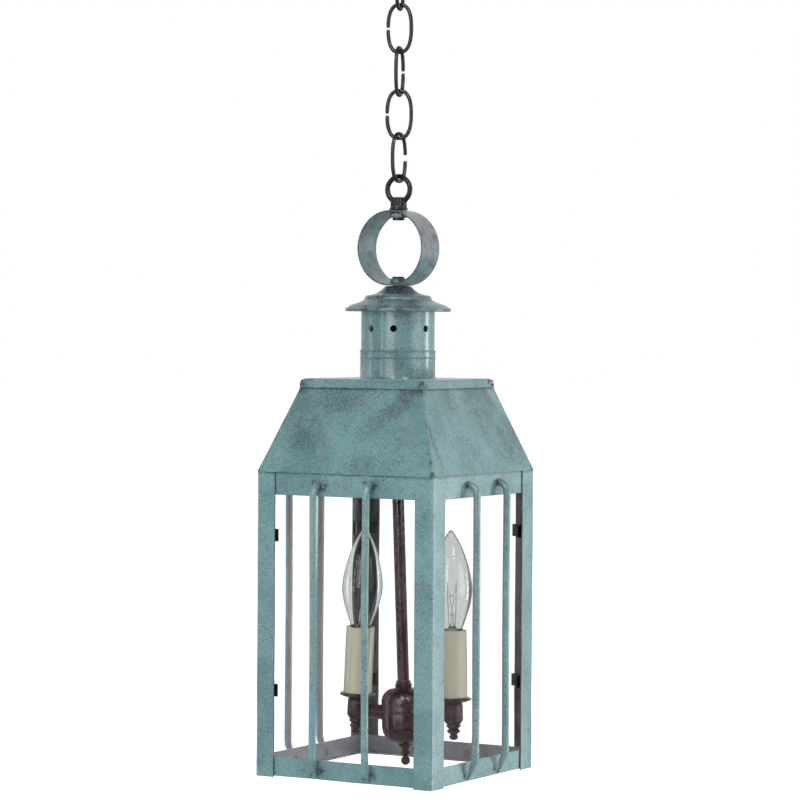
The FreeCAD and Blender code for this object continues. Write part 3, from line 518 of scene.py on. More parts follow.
MATERIALS = {
    "verdigris": verdigris("verdigris"),
    "tube": verdigris("tube_verdigris", tube=True),
    "chain": dark_metal("chain_black", (0.007, 0.005, 0.006), (0.055, 0.042, 0.05), 0.3, 9.0, 0.2),
    "bronze": dark_metal("plum_bronze", (0.024, 0.008, 0.0125), (0.085, 0.045, 0.057), 0.22, 14.0, 0.4),
    "loop": dark_metal("loop_bronze", (0.006, 0.003, 0.005), (0.035, 0.022, 0.03), 0.26, 6.0, 0.0),
    "steel": bright_metal("dull_zinc", (0.42, 0.41, 0.40), (0.25, 0.24, 0.24), 0.38, 8.0),
    "dark_clip": dark_metal("clip_black", (0.010, 0.009, 0.011), (0.06, 0.05, 0.06), 0.42, 7.0, 0.1),
    "pane_glass": glass("pane_glass", (0.98, 0.99, 0.985), ior=1.2),
    "bulb_glass": glass("bulb_glass", (0.73, 0.74, 0.735), 0.02, ior=1.14, shine=0.6),
    "brass_base": bright_metal("bulb_brass", (0.78, 0.60, 0.30), (0.55, 0.40, 0.18), 0.2, 5.0),
    "ivory": candle_plastic(),
    "phenolic": moulded("black_phenolic", (0.014, 0.013, 0.013), (0.03, 0.028, 0.027), 0.4, 6.0),
    "lead": moulded("lead_jacket", (0.02, 0.02, 0.021), (0.04, 0.038, 0.036), 0.5, 5.0),
    "connector": moulded("connector_plastic", (0.62, 0.26, 0.05), (0.5, 0.2, 0.04), 0.45, 4.0),
    "filament": bright_metal("tungsten", (0.22, 0.21, 0.2), (0.12, 0.11, 0.1), 0.35, 2.0),
    "mount_glass": glass("mount_glass", (0.82, 0.83, 0.82), 0.03, ior=1.2),
}


def finish_piece(piece, slot, body, *nodes, material=None):
    """Gives a piece its finish, its body, and the nodes it stands for."""
    piece.data.materials.append(MATERIALS[material or slot])
    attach(piece, body)
    if nodes:
        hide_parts(*nodes)
    return piece


def soften(piece, width, segments=2, angle=32.0):
    """Rounds a piece's sharp edges."""
    bevel = piece.modifiers.new("edges", "BEVEL")
    bevel.width = width * MM
    bevel.segments = segments
    bevel.limit_method = "ANGLE"
    bevel.angle_limit = math.radians(angle)
    bevel.harden_normals = True
    return piece


# --- body ---

def inside_of(*outward):
    """A painter that gives one on surfaces that face against any of the outward directions."""
    def value(point, normal):
        return 1.0 - smooth_step(min(normal.dot(way) for way in outward), -0.55, -0.05)
    return value


def make_posts():
    """Folded corner posts: a rounded fold, thin worn edges and legs slightly out of true."""
    front_leg, side_leg, fold, lip = 18.3, 20.6, 1.6, 0.35
    for number, (corner, (sx, sy)) in enumerate(CORNERS.items()):
        outline = rounded([
            (HALF * sx, HALF * sy, fold),
            (HALF * sx, (HALF - side_leg) * sy, lip),
            (WALL * sx, (HALF - side_leg) * sy, lip),
            (WALL * sx, WALL * sy, 0.4),
            ((HALF - front_leg) * sx, WALL * sy, lip),
            ((HALF - front_leg) * sx, HALF * sy, lip),
        ])
        rows = stacked(divided(outline, 2.4), spread(0.0, EAVE, 3.0))
        post = Shape().skin(rows, cap=True).make("post_" + corner, BASE)
        wobble(post, (1, 0, 0), 0.28, 45, number + 1)
        wobble(post, (0, 1, 0), 0.28, 45, number + 11)
        paint(post, "inside", inside_of(Vector((sx, 0, 0)), Vector((0, sy, 0))))
        # Painted shadow: a dark line under the roof's edge.
        paint(post, "stain_and_shade", stain_and_shadow_painter([], eave_shadow_line))
        soften(post, 0.2)
        finish_piece(post, "verdigris", "lantern", "corner_post_" + corner)


def bar_marks(face):
    """The solder burns beside a face's bar ends: (place, radius) pairs in the row's frame."""
    place = face_frame(face)
    marks = []
    for number, offset in enumerate((-BAR_OFFSET, BAR_OFFSET)):
        spots = ((offset + 4.5, EAVE - 11.0 + number * 2, 7.0), (offset - 5.0, EAVE - 8.0, 4.5),
                 (offset + 3.0, 8.0, 6.5), (offset - 4.5, 6.0, 4.5))
        for along, level, radius in spots:
            marks.append((place @ (Vector((WALL, along, level)) * MM), radius * MM))
    return marks


def stain_and_shadow_painter(marks, line=None):
    """A painter of round stains, given as (place, radius), and of a line that line gives, such as a painted
    shadow line.
    """
    def value(point, normal):
        strongest = line(point) if line else 0.0
        for spot, radius in marks:
            strongest = max(strongest, 1.0 - smooth_step((point - spot).length / radius, 0.15, 1.0))
        return strongest
    return value


def eave_shadow_line(point):
    """A painted shadow line under the roof's edge."""
    below = EAVE - (point.z - FOOT) / MM
    return 0.8 * (1.0 - smooth_step(below, 0.6, 2.4 + 0.8 * ripple(point, 9, 4)))


BAR_OFFSET = (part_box("guard_bars_front")[1].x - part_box("guard_bars_front")[0].x) / 2 / MM - 3.2


def make_rails():
    """Flat top rails and ledged bottom rails behind the posts' legs, burnt where the bars are soldered."""
    lip = 0.3
    ledge = 5.0
    top_low, top_high = levels("top_rail_front")
    low, high = levels("bottom_rail_front")
    for number, (face, angle) in enumerate(FACES.items()):
        place = face_frame(face)
        crosswise = face in ("left", "right")
        reach = WALL - (SHEET if crosswise else 0.4)
        outline = rounded([(WALL, top_low, lip), (WALL, top_high), (WALL - SHEET, top_high),
                           (WALL - SHEET, top_low, lip)])
        rows = stacked(divided(outline, 2.2), spread(-reach, reach, 2.2), axes="xzy")
        top = Shape().skin(rows, cap=True).make("top_rail_sheet_" + face, place)
        reach = WALL - (ledge if crosswise else 0.4)
        outline = rounded([(WALL, low, 0.8), (WALL, high, lip), (WALL - SHEET, high, lip),
                           (WALL - SHEET, low + SHEET, 0.3), (WALL - ledge, low + SHEET, lip),
                           (WALL - ledge, low, lip)])
        rows = stacked(divided(outline, 2.2), spread(-reach, reach, 2.2), axes="xzy")
        bottom = Shape().skin(rows, cap=True).make("bottom_rail_sheet_" + face, place)
        for seed, (rail, node) in enumerate(((top, "top_rail_"), (bottom, "bottom_rail_"))):
            wobble(rail, outward_of(angle), 0.3, 38, number + seed * 5)
            wobble(rail, (0, 0, 1), 0.25, 50, number + seed * 5 + 20)
            paint(rail, "inside", lambda point, normal, turned_in=inside_of(outward_of(angle)):
                  0.68 * turned_in(point, normal))
            # Solder burns beside the bar ends, and a painted shadow line under the roof's edge.
            paint(rail, "stain_and_shade", stain_and_shadow_painter(bar_marks(face), eave_shadow_line))
            soften(rail, 0.15)
            finish_piece(rail, "verdigris", "lantern", node + face)


# How high each face's two bars reach.
BAR_TOPS = {"front": (258.8, 261.6), "right": (260.8, 261.0),
            "rear": (260.2, 258.6), "left": (259.6, 260.9)}


def make_guard_bars():
    """Guard bars: round rods bent in at both ends, thumb-shaped at the top and drawn to a point below."""
    radius = 3.2
    proud = 8.58
    for face, angle in FACES.items():
        bars = Shape()
        for offset, top in zip((-BAR_OFFSET, BAR_OFFSET), BAR_TOPS[face]):
            bend = 9.5
            crown = top - radius * 0.86
            lie = WALL + radius * 0.45
            stand = WALL + proud
            path = [(lie - 1.4, crown + 0.3), (lie, crown)]
            path += arc(stand - bend, crown - bend, bend, 78.0, 0.0, 12)[1:]
            path += [(stand, z) for z in spread(crown - bend - 4.0, 27.0, 5.0)]
            path += arc(stand - 16.0, 24.0, 16.0, 0.0, -38.0, 8)
            path += [(WALL + 4.2, 8.2), (WALL + 2.3, 5.2), (WALL + 1.1, 2.9)]

            def section(t, point):
                taper = smooth_step(point.z, 2.0, 21.0)
                thumb = smooth_step(crown + 0.8 - point.z + (point.x - WALL) * 0.9, 0.0, 4.5)
                end = thumb if point.z > 100 else 1.0
                within = radius * (0.30 + 0.70 * taper) * (0.72 + 0.28 * end)
                across = radius * (0.16 + 0.84 * taper) * (0.8 + 0.2 * end)
                return within, across

            points = [(x, offset + 0.35 * math.sin(z / 41.0 + offset), z) for x, z in path]
            rows = swept(points, (0, 1, 0), section)
            first = Vector(points[0]) + Vector((-0.6, 0, 0.1))
            last = Vector(points[-1]) + Vector((-0.4, 0, -0.7))
            bars.skin([[first]] + rows + [[last]])
        piece = bars.make("guard_rods_" + face, face_frame(face), sharp=60)
        out = outward_of(angle)
        paint(piece, "inside",
              lambda point, normal: 0.5 * (1.0 - smooth_step(normal.dot(out), -0.45, 0.15)))
        paint(piece, "stain_and_shade", stain_and_shadow_painter([(spot, size * 0.8) for spot, size in bar_marks(face)]))
        finish_piece(piece, "verdigris", "lantern", "guard_bars_" + face)


# Where each roof sheet is thick with dark specks: how far across (-1 to 1), how far up (0 to 1), reach.
SOIL = {
    "front": ((-0.8, 0.8, 0.6), (-0.35, 0.92, 0.6), (-0.6, 0.45, 0.35), (0.2, 0.1, 0.2)),
    "right": ((-0.4, 0.9, 0.5), (0.3, 0.8, 0.6), (0.8, 0.3, 0.4)),
    "rear": ((0.3, 0.85, 0.6), (-0.7, 0.4, 0.5)),
    "left": ((-0.5, 0.7, 0.6), (0.6, 0.9, 0.5), (0.1, 0.15, 0.4)),
}

# Smoky streaks down each roof sheet, as (start, end, width): places as above, and a width in millimetres.
SMEARS = {
    "front": (((0.97, 0.99), (0.12, 0.42), 10.0),),
    "right": (((0.6, 1.0), (0.9, 0.5), 9.0), ((-0.97, 0.5), (-0.8, 0.1), 5.0)),
    "rear": (((-0.9, 0.98), (-0.3, 0.6), 9.0),),
    "left": (((-0.8, 0.95), (-0.1, 0.7), 12.0), ((0.9, 0.6), (0.7, 0.2), 8.0)),
}


def make_roof():
    """Four sloping sheets with a soft warp, and a bead of solder down each hip."""
    sheet = 1.2
    top_half = 59.6
    low, high = levels("roof_panel_front")
    slope = (HALF - top_half) / (high - low)
    tilt = Vector((1.0, 0.0, slope)).normalized()
    for number, face in enumerate(FACES):
        rows = []
        for v in spread(0.0, 1.0, 1 / 44):
            level = low + (high - low) * v
            half = HALF - slope * (level - low)
            outer, inner = [], []
            for u in spread(-1.0, 1.0, 1 / 44):
                ease = (1 - u ** 6) * min(1.0, v * 6) * min(1.0, (1 - v) * 6)
                place = (u * 1.9 + number * 5.1, v * 2.2, 0.0)
                warp = (0.9 * noise.noise(Vector(place)) - 0.35) * ease
                outer.append(Vector((half, u * half, level)) + tilt * warp)
                inner.append(Vector((half - sheet, u * (half - sheet), level)) + tilt * warp)
            rows.append(outer + inner[::-1])
        panel = Shape().skin(rows, cap=True).make("roof_sheet_" + face, face_frame(face))
        paint(panel, "inside", inside_of(face_frame(face).to_3x3() @ tilt))
        marks = []
        for end in (-1, 1):
            for t, size in ((0.02, 6.0), (0.16, 3.4), (0.55, 2.6), (0.93, 9.0)):
                level = low + (high - low) * t
                half = HALF - slope * (level - low)
                marks.append((face_frame(face) @ (Vector((half, half * end, level)) * MM), size * MM))
        tray_low = levels("roof_tray")[0]

        def skirt_shadow_line(point):
            """A painted shadow line under the tray's skirt."""
            below = tray_low - (point.z - FOOT) / MM
            return 0.85 * (1.0 - smooth_step(below, 0.5, 2.2 + 1.2 * ripple(point, 11, 5)))

        # Round stains along the hips, and a painted shadow line under the tray's skirt.
        paint(panel, "stain_and_shade", stain_and_shadow_painter(marks, skirt_shadow_line))
        unturned = face_frame(face).inverted()

        def spot(point):
            """Where a point lies on its sheet: across from -1 to 1, and up from 0 to 1."""
            _, along, level = (unturned @ point) / MM
            return Vector((along / (HALF - slope * (level - low)), (level - low) / (high - low)))

        def soil(point, normal):
            place = spot(point)
            return max(1.0 - smooth_step((place - Vector((across, up))).length, reach * 0.3, reach)
                       for across, up, reach in SOIL[face])

        def smear(point, normal):
            place = spot(point)
            strongest = 0.0
            for start, end, width in SMEARS[face]:
                start, way = Vector(start), Vector(end) - Vector(start)
                along = min(max((place - start).dot(way) / way.dot(way), 0.0), 1.0)
                gap = (place - start - way * along) * (HALF + top_half) / 2
                off = smooth_step(gap.length, width * 0.2, width * (1.1 + 0.5 * ripple(point, 7, 2)))
                strongest = max(strongest, (1.0 - off) * (1.0 - 0.75 * along))
            return strongest

        paint(panel, "soil", soil)
        paint(panel, "smear", smear)
        finish_piece(panel, "verdigris", "lantern", "roof_panel_" + face)
    for corner, (sx, sy) in CORNERS.items():
        path, stop = [], levels("roof_tray")[0] - 0.5
        for level in spread(low + 0.8, stop, 1.6):
            half = HALF - slope * (level - low) - 0.55
            path.append((half * sx, half * sy, level))
        flat = Vector((-sy, sx, 0)).normalized()

        def bead(t, point):
            size = 0.62 + 0.4 * noise.noise(Vector((point.z / 5.0, sx * 3.1, sy * 1.7)))
            end = min(1.0, t * 14 + 0.15, (1 - t) * 14 + 0.15)
            return size * end, size * 1.35 * end

        rows = swept(path, flat, bead, 12)
        seam = Shape().skin([[path[0]]] + rows + [[path[-1]]]).make("hip_solder_" + corner, BASE, sharp=70)
        finish_piece(seam, "verdigris", "lantern")


def square_row(half, corner, level):
    """A row round a square with rounded corners."""
    per_side, per_corner = 24, 6
    straight = half - corner
    points = []
    for quarter in range(4):
        turn = turn_z(quarter * 90.0)
        side = [Vector((half, y, level)) for y in spread(-straight, straight, 2 * straight / per_side)]
        steps = [math.radians(90.0 * k / per_corner) for k in range(1, per_corner)]
        fold = [Vector((straight + corner * math.cos(a), straight + corner * math.sin(a), level))
                for a in steps]
        points += [turn @ p for p in side + fold]
    return points


def make_tray():
    """The roof's flat top: a shallow tray turned over, with folded corners and a proud skirt."""
    low, high = levels("roof_tray")
    sheet, fold = 1.0, 1.3
    slope = 0.365
    top_half = half_width("roof_tray") - slope * (high - low)
    hole = 29.0
    opening = [(hole * p.x / p.length, hole * p.y / p.length) for p in
               (Vector((q.x, q.y, 0)) for q in square_row(top_half, fold, 0))]
    bottom_half = half_width("roof_tray")

    def skirt(half, level, corner, wave):
        row = square_row(half, corner, level)
        if not wave:
            return row
        shifted = []
        for p in row:
            out = Vector((p.x, p.y, 0)).normalized()
            lift = Vector((0, 0, wave * noise.noise(p / 13.0)))
            shifted.append(p - out * wave * (0.5 + noise.noise(p / 9.0)) + lift)
        return shifted

    rows = [[(x, y, high) for x, y in opening]]
    rows += [skirt(top_half * t, high, fold + (1 - t) * 9, 0) for t in (0.72, 0.84, 0.94)]
    rows += [skirt(top_half - 0.9, high, fold, 0), skirt(top_half - 0.25, high - 0.15, fold, 0),
             skirt(top_half + 0.1, high - 0.7, fold, 0)]
    for t in (0.2, 0.4, 0.6, 0.8, 1.0):
        half = top_half + (bottom_half - top_half) * t
        rows.append(skirt(half, high - 0.7 - (high - low - 1.0) * t, fold, 0.35 * t))
    rows.append(skirt(bottom_half - 0.35, low + 0.05, fold, 0.35))
    rows.append(skirt(bottom_half - sheet, low + 0.1, fold, 0.35))
    rows.append(skirt(top_half - 0.6, high - sheet, fold, 0))
    rows.append([(x, y, high - sheet) for x, y in opening])
    tray = Shape().skin(rows, wrap=True).make("roof_tray_sheet", BASE)
    marks = []
    for sx, sy in CORNERS.values():
        spot = Vector((sx * (bottom_half - 3), sy * (bottom_half - 3), low + 2.0)) * MM
        marks.append((BASE @ spot, 7.0 * MM))
    paint(tray, "stain_and_shade", stain_and_shadow_painter(marks))
    finish_piece(tray, "verdigris", "lantern", "roof_tray")


def make_corner_folds():
    """The doubled flap of sheet at each corner of the tray, dressed down with solder."""
    low = levels("roof_tray")[0]
    for corner, (sx, sy) in CORNERS.items():
        half = half_width("roof_tray") - 0.365 * 3.0
        path = []
        for t in spread(0.0, 1.0, 0.1):
            lift = math.sin(math.pi * min(1.0, t * 1.15))
            path.append(Vector((half * sx + sx * 0.5 - sx * 1.6 * t, half * sy - sy * (0.2 + 9.0 * t),
                                low + 0.9 + 5.4 * lift * (1 - 0.3 * t))))
        flat = Vector((sx, 0, 0.2)).normalized()

        def flap(t, point):
            end = min(1.0, t * 5 + 0.2, (1 - t) * 5 + 0.15)
            return 1.8 * end, 1.15 * end

        rows = swept(path, flat, flap, 12)
        fold = Shape().skin([[path[0]]] + rows + [[path[-1]]]).make("tray_fold_" + corner, BASE, sharp=70)
        paint(fold, "stain_and_shade", lambda point, normal: 0.75)
        finish_piece(fold, "verdigris", "lantern")


# --- chimney, ring and loop ---

def make_collar():
    """The beaded collar round the foot of the chimney, with a fillet of solder on the tray."""
    low, high = levels("chimney_collar")
    inner = half_width("chimney_tube")
    outer = inner + 0.7
    bead = high - 6.8
    outline = [(inner, low), (outer + 1.5, low), (outer + 0.5, low + 0.5), (outer, low + 1.6),
               (outer, bead - 1.1)]
    outline += arc(outer - 0.25, bead, 0.75, -70.0, 70.0, 8)
    outline += [(outer, bead + 1.1), (outer, high - 1.9)]
    outline += arc(outer - 0.2, high - 0.95, 0.75, -70.0, 110.0, 8)
    outline += [(inner, high - 0.15)]

    def uneven(angle, height):
        return 0.12 * noise.noise(Vector((math.cos(angle) * 2.4, math.sin(angle) * 2.4, height / 12.0)))

    collar = Shape().skin(turned(outline, 144, uneven), wrap=True).make("chimney_collar_sheet", BASE)
    paint(collar, "soil", lambda point, normal: 0.75)
    finish_piece(collar, "verdigris", "lantern", "chimney_collar")


def make_cap():
    """The spun chimney cap: a hollow-sided cone, a raised ring and a rolled brim."""
    rim = half_width("chimney_cap")
    low, top = levels("chimney_cap")
    outline = rounded([
        (5.4, top), (11.2, top, 1.0),
        (14.0, top - 2.9, 5.0), (19.0, top - 6.3, 8.0), (25.0, top - 8.0, 1.2),
        (27.9, top - 8.3, 0.9), (29.4, top - 9.9, 0.8), (29.6, top - 11.5, 0.9), (32.6, top - 13.6, 5.0),
        (41.2, top - 16.6, 1.0), (42.6, top - 17.2, 0.8),
        (rim - 2.6, low + 4.0, 0.7), (rim - 0.2, low + 3.1, 1.3),
        (rim, low + 1.0, 1.3), (rim - 1.6, low, 1.2), (rim - 3.4, low + 0.9, 1.0), (41.5, top - 18.4, 1.0),
        (31.8, top - 14.9, 3.0), (28.4, top - 12.0, 1.0), (24.6, top - 9.2, 1.0), (18.6, top - 7.6, 6.0),
        (13.2, top - 4.0, 3.0), (11.0, top - 1.1, 1.0), (5.4, top - 1.1),
    ])

    def uneven(angle, height):
        reach = smooth_step(top - height, 8.0, 20.0)
        return -0.25 * reach * abs(noise.noise(Vector((math.cos(angle) * 1.9, math.sin(angle) * 1.9, 0.3))))

    cap = Shape().skin(turned(outline, 144, uneven), wrap=True).make("cap_spinning", BASE)
    middle = BASE @ Vector((0, 0, (top - 5.0) * MM))

    # Stain round the top, and patches painted darker on the -X -Y side and lighter towards +X +Y, where the
    # light falls: painted shade.
    def soot_and_shade(point, normal):
        near = 1.0 - smooth_step((point - middle).length / MM, 12.0, 30.0)
        patch = smooth_step(ripple(point, 8, 5), -0.05, 0.3)
        return min(1.0, near + (0.75 - 0.3 * smooth_step((point.x + point.y) / MM, -10.0, 30.0)) * patch)

    paint(cap, "stain_and_shade", soot_and_shade)
    paint(cap, "soil", lambda point, normal: 1.0)
    paint(cap, "smear", lambda point, normal: 0.4 * smooth_step(ripple(point, 17, 6), -0.1, 0.45))
    finish_piece(cap, "verdigris", "lantern", "chimney_cap")


def make_ring():
    """The carrying ring: a rolled strip with worn edges, greyer where hands have rubbed it."""
    low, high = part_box("hanging_ring")
    outer = (high.z - low.z) / 2 / MM
    half = (high.y - low.y) / 2 / MM
    sheet = 1.3
    lip = 0.45
    outline = rounded([(outer - sheet, -half, lip), (outer, -half, lip), (outer, half, lip),
                       (outer - sheet, half, lip)])

    def uneven(angle, height):
        place = (math.cos(angle) * 1.5, math.sin(angle) * 1.5, height / 40.0)
        return -0.12 + 0.2 * noise.noise(Vector(place)) - 0.1

    rows = turned(divided(outline, 1.4), 180, uneven)
    place = Matrix.Translation(centre("hanging_ring")) @ Matrix.Rotation(math.radians(90), 4, "X")
    ring = Shape().skin(rows, wrap=True).make("ring_strip", place)
    hub = centre("hanging_ring")

    def rubbed(point, normal):
        away = point - hub
        side = smooth_step(away.x / MM, 2.0, 20.0)
        upper = smooth_step(away.z / MM + 9.0 * ripple(point, 14, 3), -9.0, 3.0)
        inner = 1.0 if normal.dot(away) < 0 else 0.7
        return 0.5 * side * upper * inner

    paint(ring, "inside", rubbed)
    burns = stain_and_shadow_painter([(hub + Vector((0, 0, reach * outer * MM)), 15 * MM) for reach in (-1, 1)])

    def soot_and_shade(point, normal):
        rim = 0.7 * smooth_step(abs(point.y - hub.y) / MM, half - 1.6, half - 0.3)
        return max(burns(point, normal), rim, 0.6 * smooth_step(ripple(point, 7, 3), -0.1, 0.45))

    paint(ring, "stain_and_shade", soot_and_shade)
    paint(ring, "soil", lambda point, normal: 0.9)
    paint(ring, "smear", lambda point, normal: 0.5 * smooth_step(ripple(point, 12, 8), 0.05, 0.45))
    finish_piece(ring, "verdigris", "lantern", "hanging_ring")


def hexagon_nut(shape, place, turn=0.0):
    """Adds a thin hexagon nut with chamfered corners, standing on its place."""
    flats, bore, height, chamfer = 7.25, 5.25, 4.2, 0.7

    def ring(level, kind):
        row = []
        for k in range(72):
            angle = math.tau * k / 72
            past_flat = math.radians(math.degrees(angle) % 60.0 - 30.0)
            reach = {"bore": bore, "round": flats, "hexagon": flats / math.cos(past_flat)}[kind]
            angle += math.radians(turn)
            row.append(place @ Vector((reach * math.cos(angle), reach * math.sin(angle), level)))
        return row

    rows = [ring(0.0, "bore"), ring(0.0, "round"), ring(chamfer, "hexagon"),
            ring(height - chamfer, "hexagon"), ring(height, "round"), ring(height, "bore")]
    shape.skin(rows, wrap=True)


def make_nuts():
    """Lock nuts: two inside the ring, under patina, and bronze ones under the cap and on the bar."""
    height, sheet, seat = 4.2, 1.3, 1.2
    ring_low, ring_high = levels("hanging_ring")
    ring_nuts = Shape()
    hexagon_nut(ring_nuts, Matrix.Translation((0, 0, ring_low + sheet + seat)))
    hexagon_nut(ring_nuts, Matrix.Translation((0, 0, ring_high - sheet - seat - height)), 15.0)
    piece = ring_nuts.make("ring_lock_nuts", BASE, sharp=25)
    paint(piece, "stain_and_shade", lambda point, normal: 0.7)
    finish_piece(piece, "verdigris", "lantern")
    cap_top = levels("chimney_cap")[1]
    bar_low, bar_high = levels("crossbar")
    to_cluster = Matrix.Scale(1 / MM, 4) @ BASE.inverted() @ cluster_frame() @ Matrix.Scale(MM, 4)
    arms_level = to_cluster.translation.z
    inner_nuts = Shape()
    hexagon_nut(inner_nuts, Matrix.Translation((0, 0, cap_top - 1.0 - height)))
    for foot, turn in ((bar_high + 0.6, 10.0), (bar_low - 0.6 - height, 24.0)):
        hexagon_nut(inner_nuts, to_cluster @ Matrix.Translation((0, 0, foot - arms_level)), turn)
    piece = inner_nuts.make("inner_lock_nuts", BASE, sharp=25)
    finish_piece(piece, "bronze", "lantern", "lock_nuts")


def make_loop():
    """The loop: a flange, a fluted collar and the eye that the chain hangs it by."""
    low, high = levels("hanging_loop")
    flange, collar, eye_half = 2.0, 9.4, 13.7
    wire = 2.2
    shoulder, crown = low + flange, low + flange + collar
    loop = Shape()
    outline = rounded([(5.3, low), (8.1, low, 0.5), (8.1, shoulder, 0.7), (7.0, shoulder + 0.2),
                       (5.3, shoulder)])
    loop.skin(turned(outline, 80), wrap=True)

    def flutes(angle, height):
        depth = 0.62 * smooth_step(height, shoulder, shoulder + 1.6) * smooth_step(crown - height, 0.0, 1.4)
        return -depth * abs(math.cos(angle * 5.0)) ** 1.6

    outline = rounded([(3.5, shoulder - 0.4), (7.35, shoulder - 0.4), (7.35, shoulder + 0.6)] +
                      [(7.35, z) for z in spread(shoulder + 1.2, crown - 1.2, 0.8)] +
                      [(7.3, crown, 0.8), (3.5, crown, 0.4)])
    loop.skin(turned(outline, 160, flutes), wrap=True)
    hub = high - eye_half
    rows = []
    count = 112
    for k in range(count):
        angle = math.tau * k / count
        out = Vector((math.cos(angle), 0, math.sin(angle)))
        reach = eye_half - wire + 0.25 * math.cos(angle * 4)
        thick = wire * (1.0 + 0.10 * max(0.0, -math.sin(angle)) + 0.03 * math.cos(2 * angle))
        middle = Vector((0, 0, hub)) + out * min(reach, eye_half - thick)
        rows.append([middle + out * thick * math.cos(b) + Vector((0, 1, 0)) * wire * math.sin(b)
                     for b in (math.tau * n / 24 for n in range(24))])
    loop.skin(rows, wrap=True)
    piece = loop.make("loop_casting", BASE, sharp=50)
    finish_piece(piece, "bronze", "lantern", "hanging_loop", material="loop")


# --- chain ---

def make_chain():
    """Five bent wire links with butted ends; the lowest is left open enough to unhook."""
    swings = [joint for joint in frame["joints"] if joint["name"].endswith("_swing")]
    bodies = ["top_link"] + [joint["child"] for joint in swings[:-1]]
    wire = 1.8
    for number, (joint, body) in enumerate(zip(swings, bodies)):
        node = f"chain_link_{number + 1}"
        low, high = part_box(node)
        half_length = (high.z - low.z) / 2 / MM - wire
        half_wide = 10.7
        full = 2.0 / 2.5
        start = math.asin(((2.5 if number == len(swings) - 1 else 0.85) / half_length) ** (1 / full))
        points = []
        for angle in spread(start, math.tau - start, math.tau / 120):
            x, z = math.cos(angle), math.sin(angle)
            points.append((half_wide * math.copysign(abs(x) ** full, x), 0.18 * math.sin(x * 2.0 + number),
                           half_length * math.copysign(abs(z) ** full, z)))

        def section(t, point):
            end = min(t, 1 - t) * len(points)
            cut = 0.72 + 0.28 * smooth_step(end, 0.0, 1.0)
            worn = 0.95 + 0.05 * noise.noise(Vector((t * 9.0, number * 2.3, 0.5)))
            return wire * cut * worn, wire * cut * worn

        rows = swept(points, (0, 1, 0), section, 24)
        turn = math.degrees(math.atan2(joint["axis"][1], joint["axis"][0]))
        place = Matrix.Translation(centre(node)) @ turn_z(turn)
        link = Shape().skin(rows, cap=True).make("wire_link_" + str(number + 1), place)
        finish_piece(link, "chain", body, node)


# --- cluster ---

def make_cluster():
    """The cluster's two shells with their faint seams, the check ring above and the finial below."""
    place = cluster_frame()
    crown = arc(8.0, 9.0, 12.0, 88.0, 4.0, 20)
    bowl = [(6.6 + 13.4 * math.cos(a), -12.4 - 14.8 * math.sin(a))
            for a in spread(0.06, math.pi / 2 - 0.1, 0.075)]
    upper = rounded([(5.3, 22.2), (7.3, 22.2, 0.5), (7.6, 21.3, 0.3)] + crown + [
        (20.0, 7.2), (19.7, 7.0, 0.1), (20.0, 6.8, 0.1), (20.0, 0.0), (18.6, 0.0), (18.5, 9.0, 6.0),
        (13.2, 17.8, 8.0), (7.2, 20.0, 1.0), (5.3, 20.0)])
    lower = rounded([
        (20.0, -0.25, 0.15), (20.0, -12.0), (19.65, -12.2, 0.1), (19.98, -12.4, 0.1)] + bowl + [
        (6.2, -27.7, 0.5), (2.7, -27.7), (2.7, -26.0), (6.4, -25.6, 1.0), (13.6, -22.0, 8.0),
        (18.5, -12.0, 6.0), (18.6, -0.25)])
    for name, outline in (("upper", upper), ("lower", lower)):
        shell = Shape().skin(turned(outline, 112), wrap=True).make("cluster_shell_" + name, place)
        finish_piece(shell, "bronze", "lantern", "cluster_body_" + name)
    outline = rounded([(5.25, 22.2), (6.9, 22.2, 0.4), (7.6, 23.4, 0.9), (7.6, 24.4, 0.9), (6.4, 25.4, 0.5),
                       (6.6, 26.6, 0.5), (6.2, 27.8, 0.7), (5.25, 27.8)])
    ring = Shape().skin(turned(outline, 80), wrap=True).make("check_ring_turning", place)
    finish_piece(ring, "bronze", "lantern", "check_ring")
    outline = rounded([(0.0, -22.7), (2.5, -22.7), (2.5, -27.7), (6.2, -27.7, 0.3), (6.2, -29.2, 0.6),
                       (4.4, -31.4, 2.0), (2.9, -34.0, 2.0), (4.4, -35.2, 0.5), (4.4, -36.6, 0.5),
                       (2.5, -38.2, 0.6)], closed=False)
    outline += arc(0.0, -43.0, 4.1, 62.0, -90.0, 18)[1:-1] + [(0.0, -47.1)]
    finial = Shape().skin(turned(outline, 64)).make("finial_turning", place)
    finish_piece(finial, "bronze", "lantern", "cluster_finial")


def make_cup(side):
    """One turned cup: a drip plate, a neck with a bead, the barrel, sharp rings and a ball."""
    foot = 24.6
    outline = rounded([
        (4.7, -6.8), (4.7, 12.6), (14.6, 12.6, 0.5), (15.7, 11.9, 0.7), (15.6, 10.6, 0.6), (12.6, 9.3, 1.6),
        (8.4, 8.9, 0.5), (7.4, 8.4, 0.3), (8.2, 7.7, 0.3), (7.6, 7.0, 0.25), (8.4, 6.4, 0.5),
        (8.45, -7.4, 0.6), (7.4, -8.4, 0.4), (6.9, -9.6, 0.3), (5.7, -10.9, 0.3), (6.6, -12.3, 0.35),
        (4.3, -14.6, 0.3), (6.2, -16.9, 0.35), (3.2, -19.4, 0.5)], closed=False)
    ball, flatness = 3.95, 0.68
    outline += [(ball * math.cos(a), -foot + ball * flatness * (1 + math.sin(a)))
                for a in spread(math.radians(42.0), math.radians(-84.0), 0.17)]
    outline = [(0.0, -6.8)] + outline + [(0.0, -foot)]
    cup = Shape().skin(turned(outline, 88)).make("candle_cup_turning_" + side, candle_frame(side))
    finish_piece(cup, "bronze", "lantern", "candle_cup_" + side)


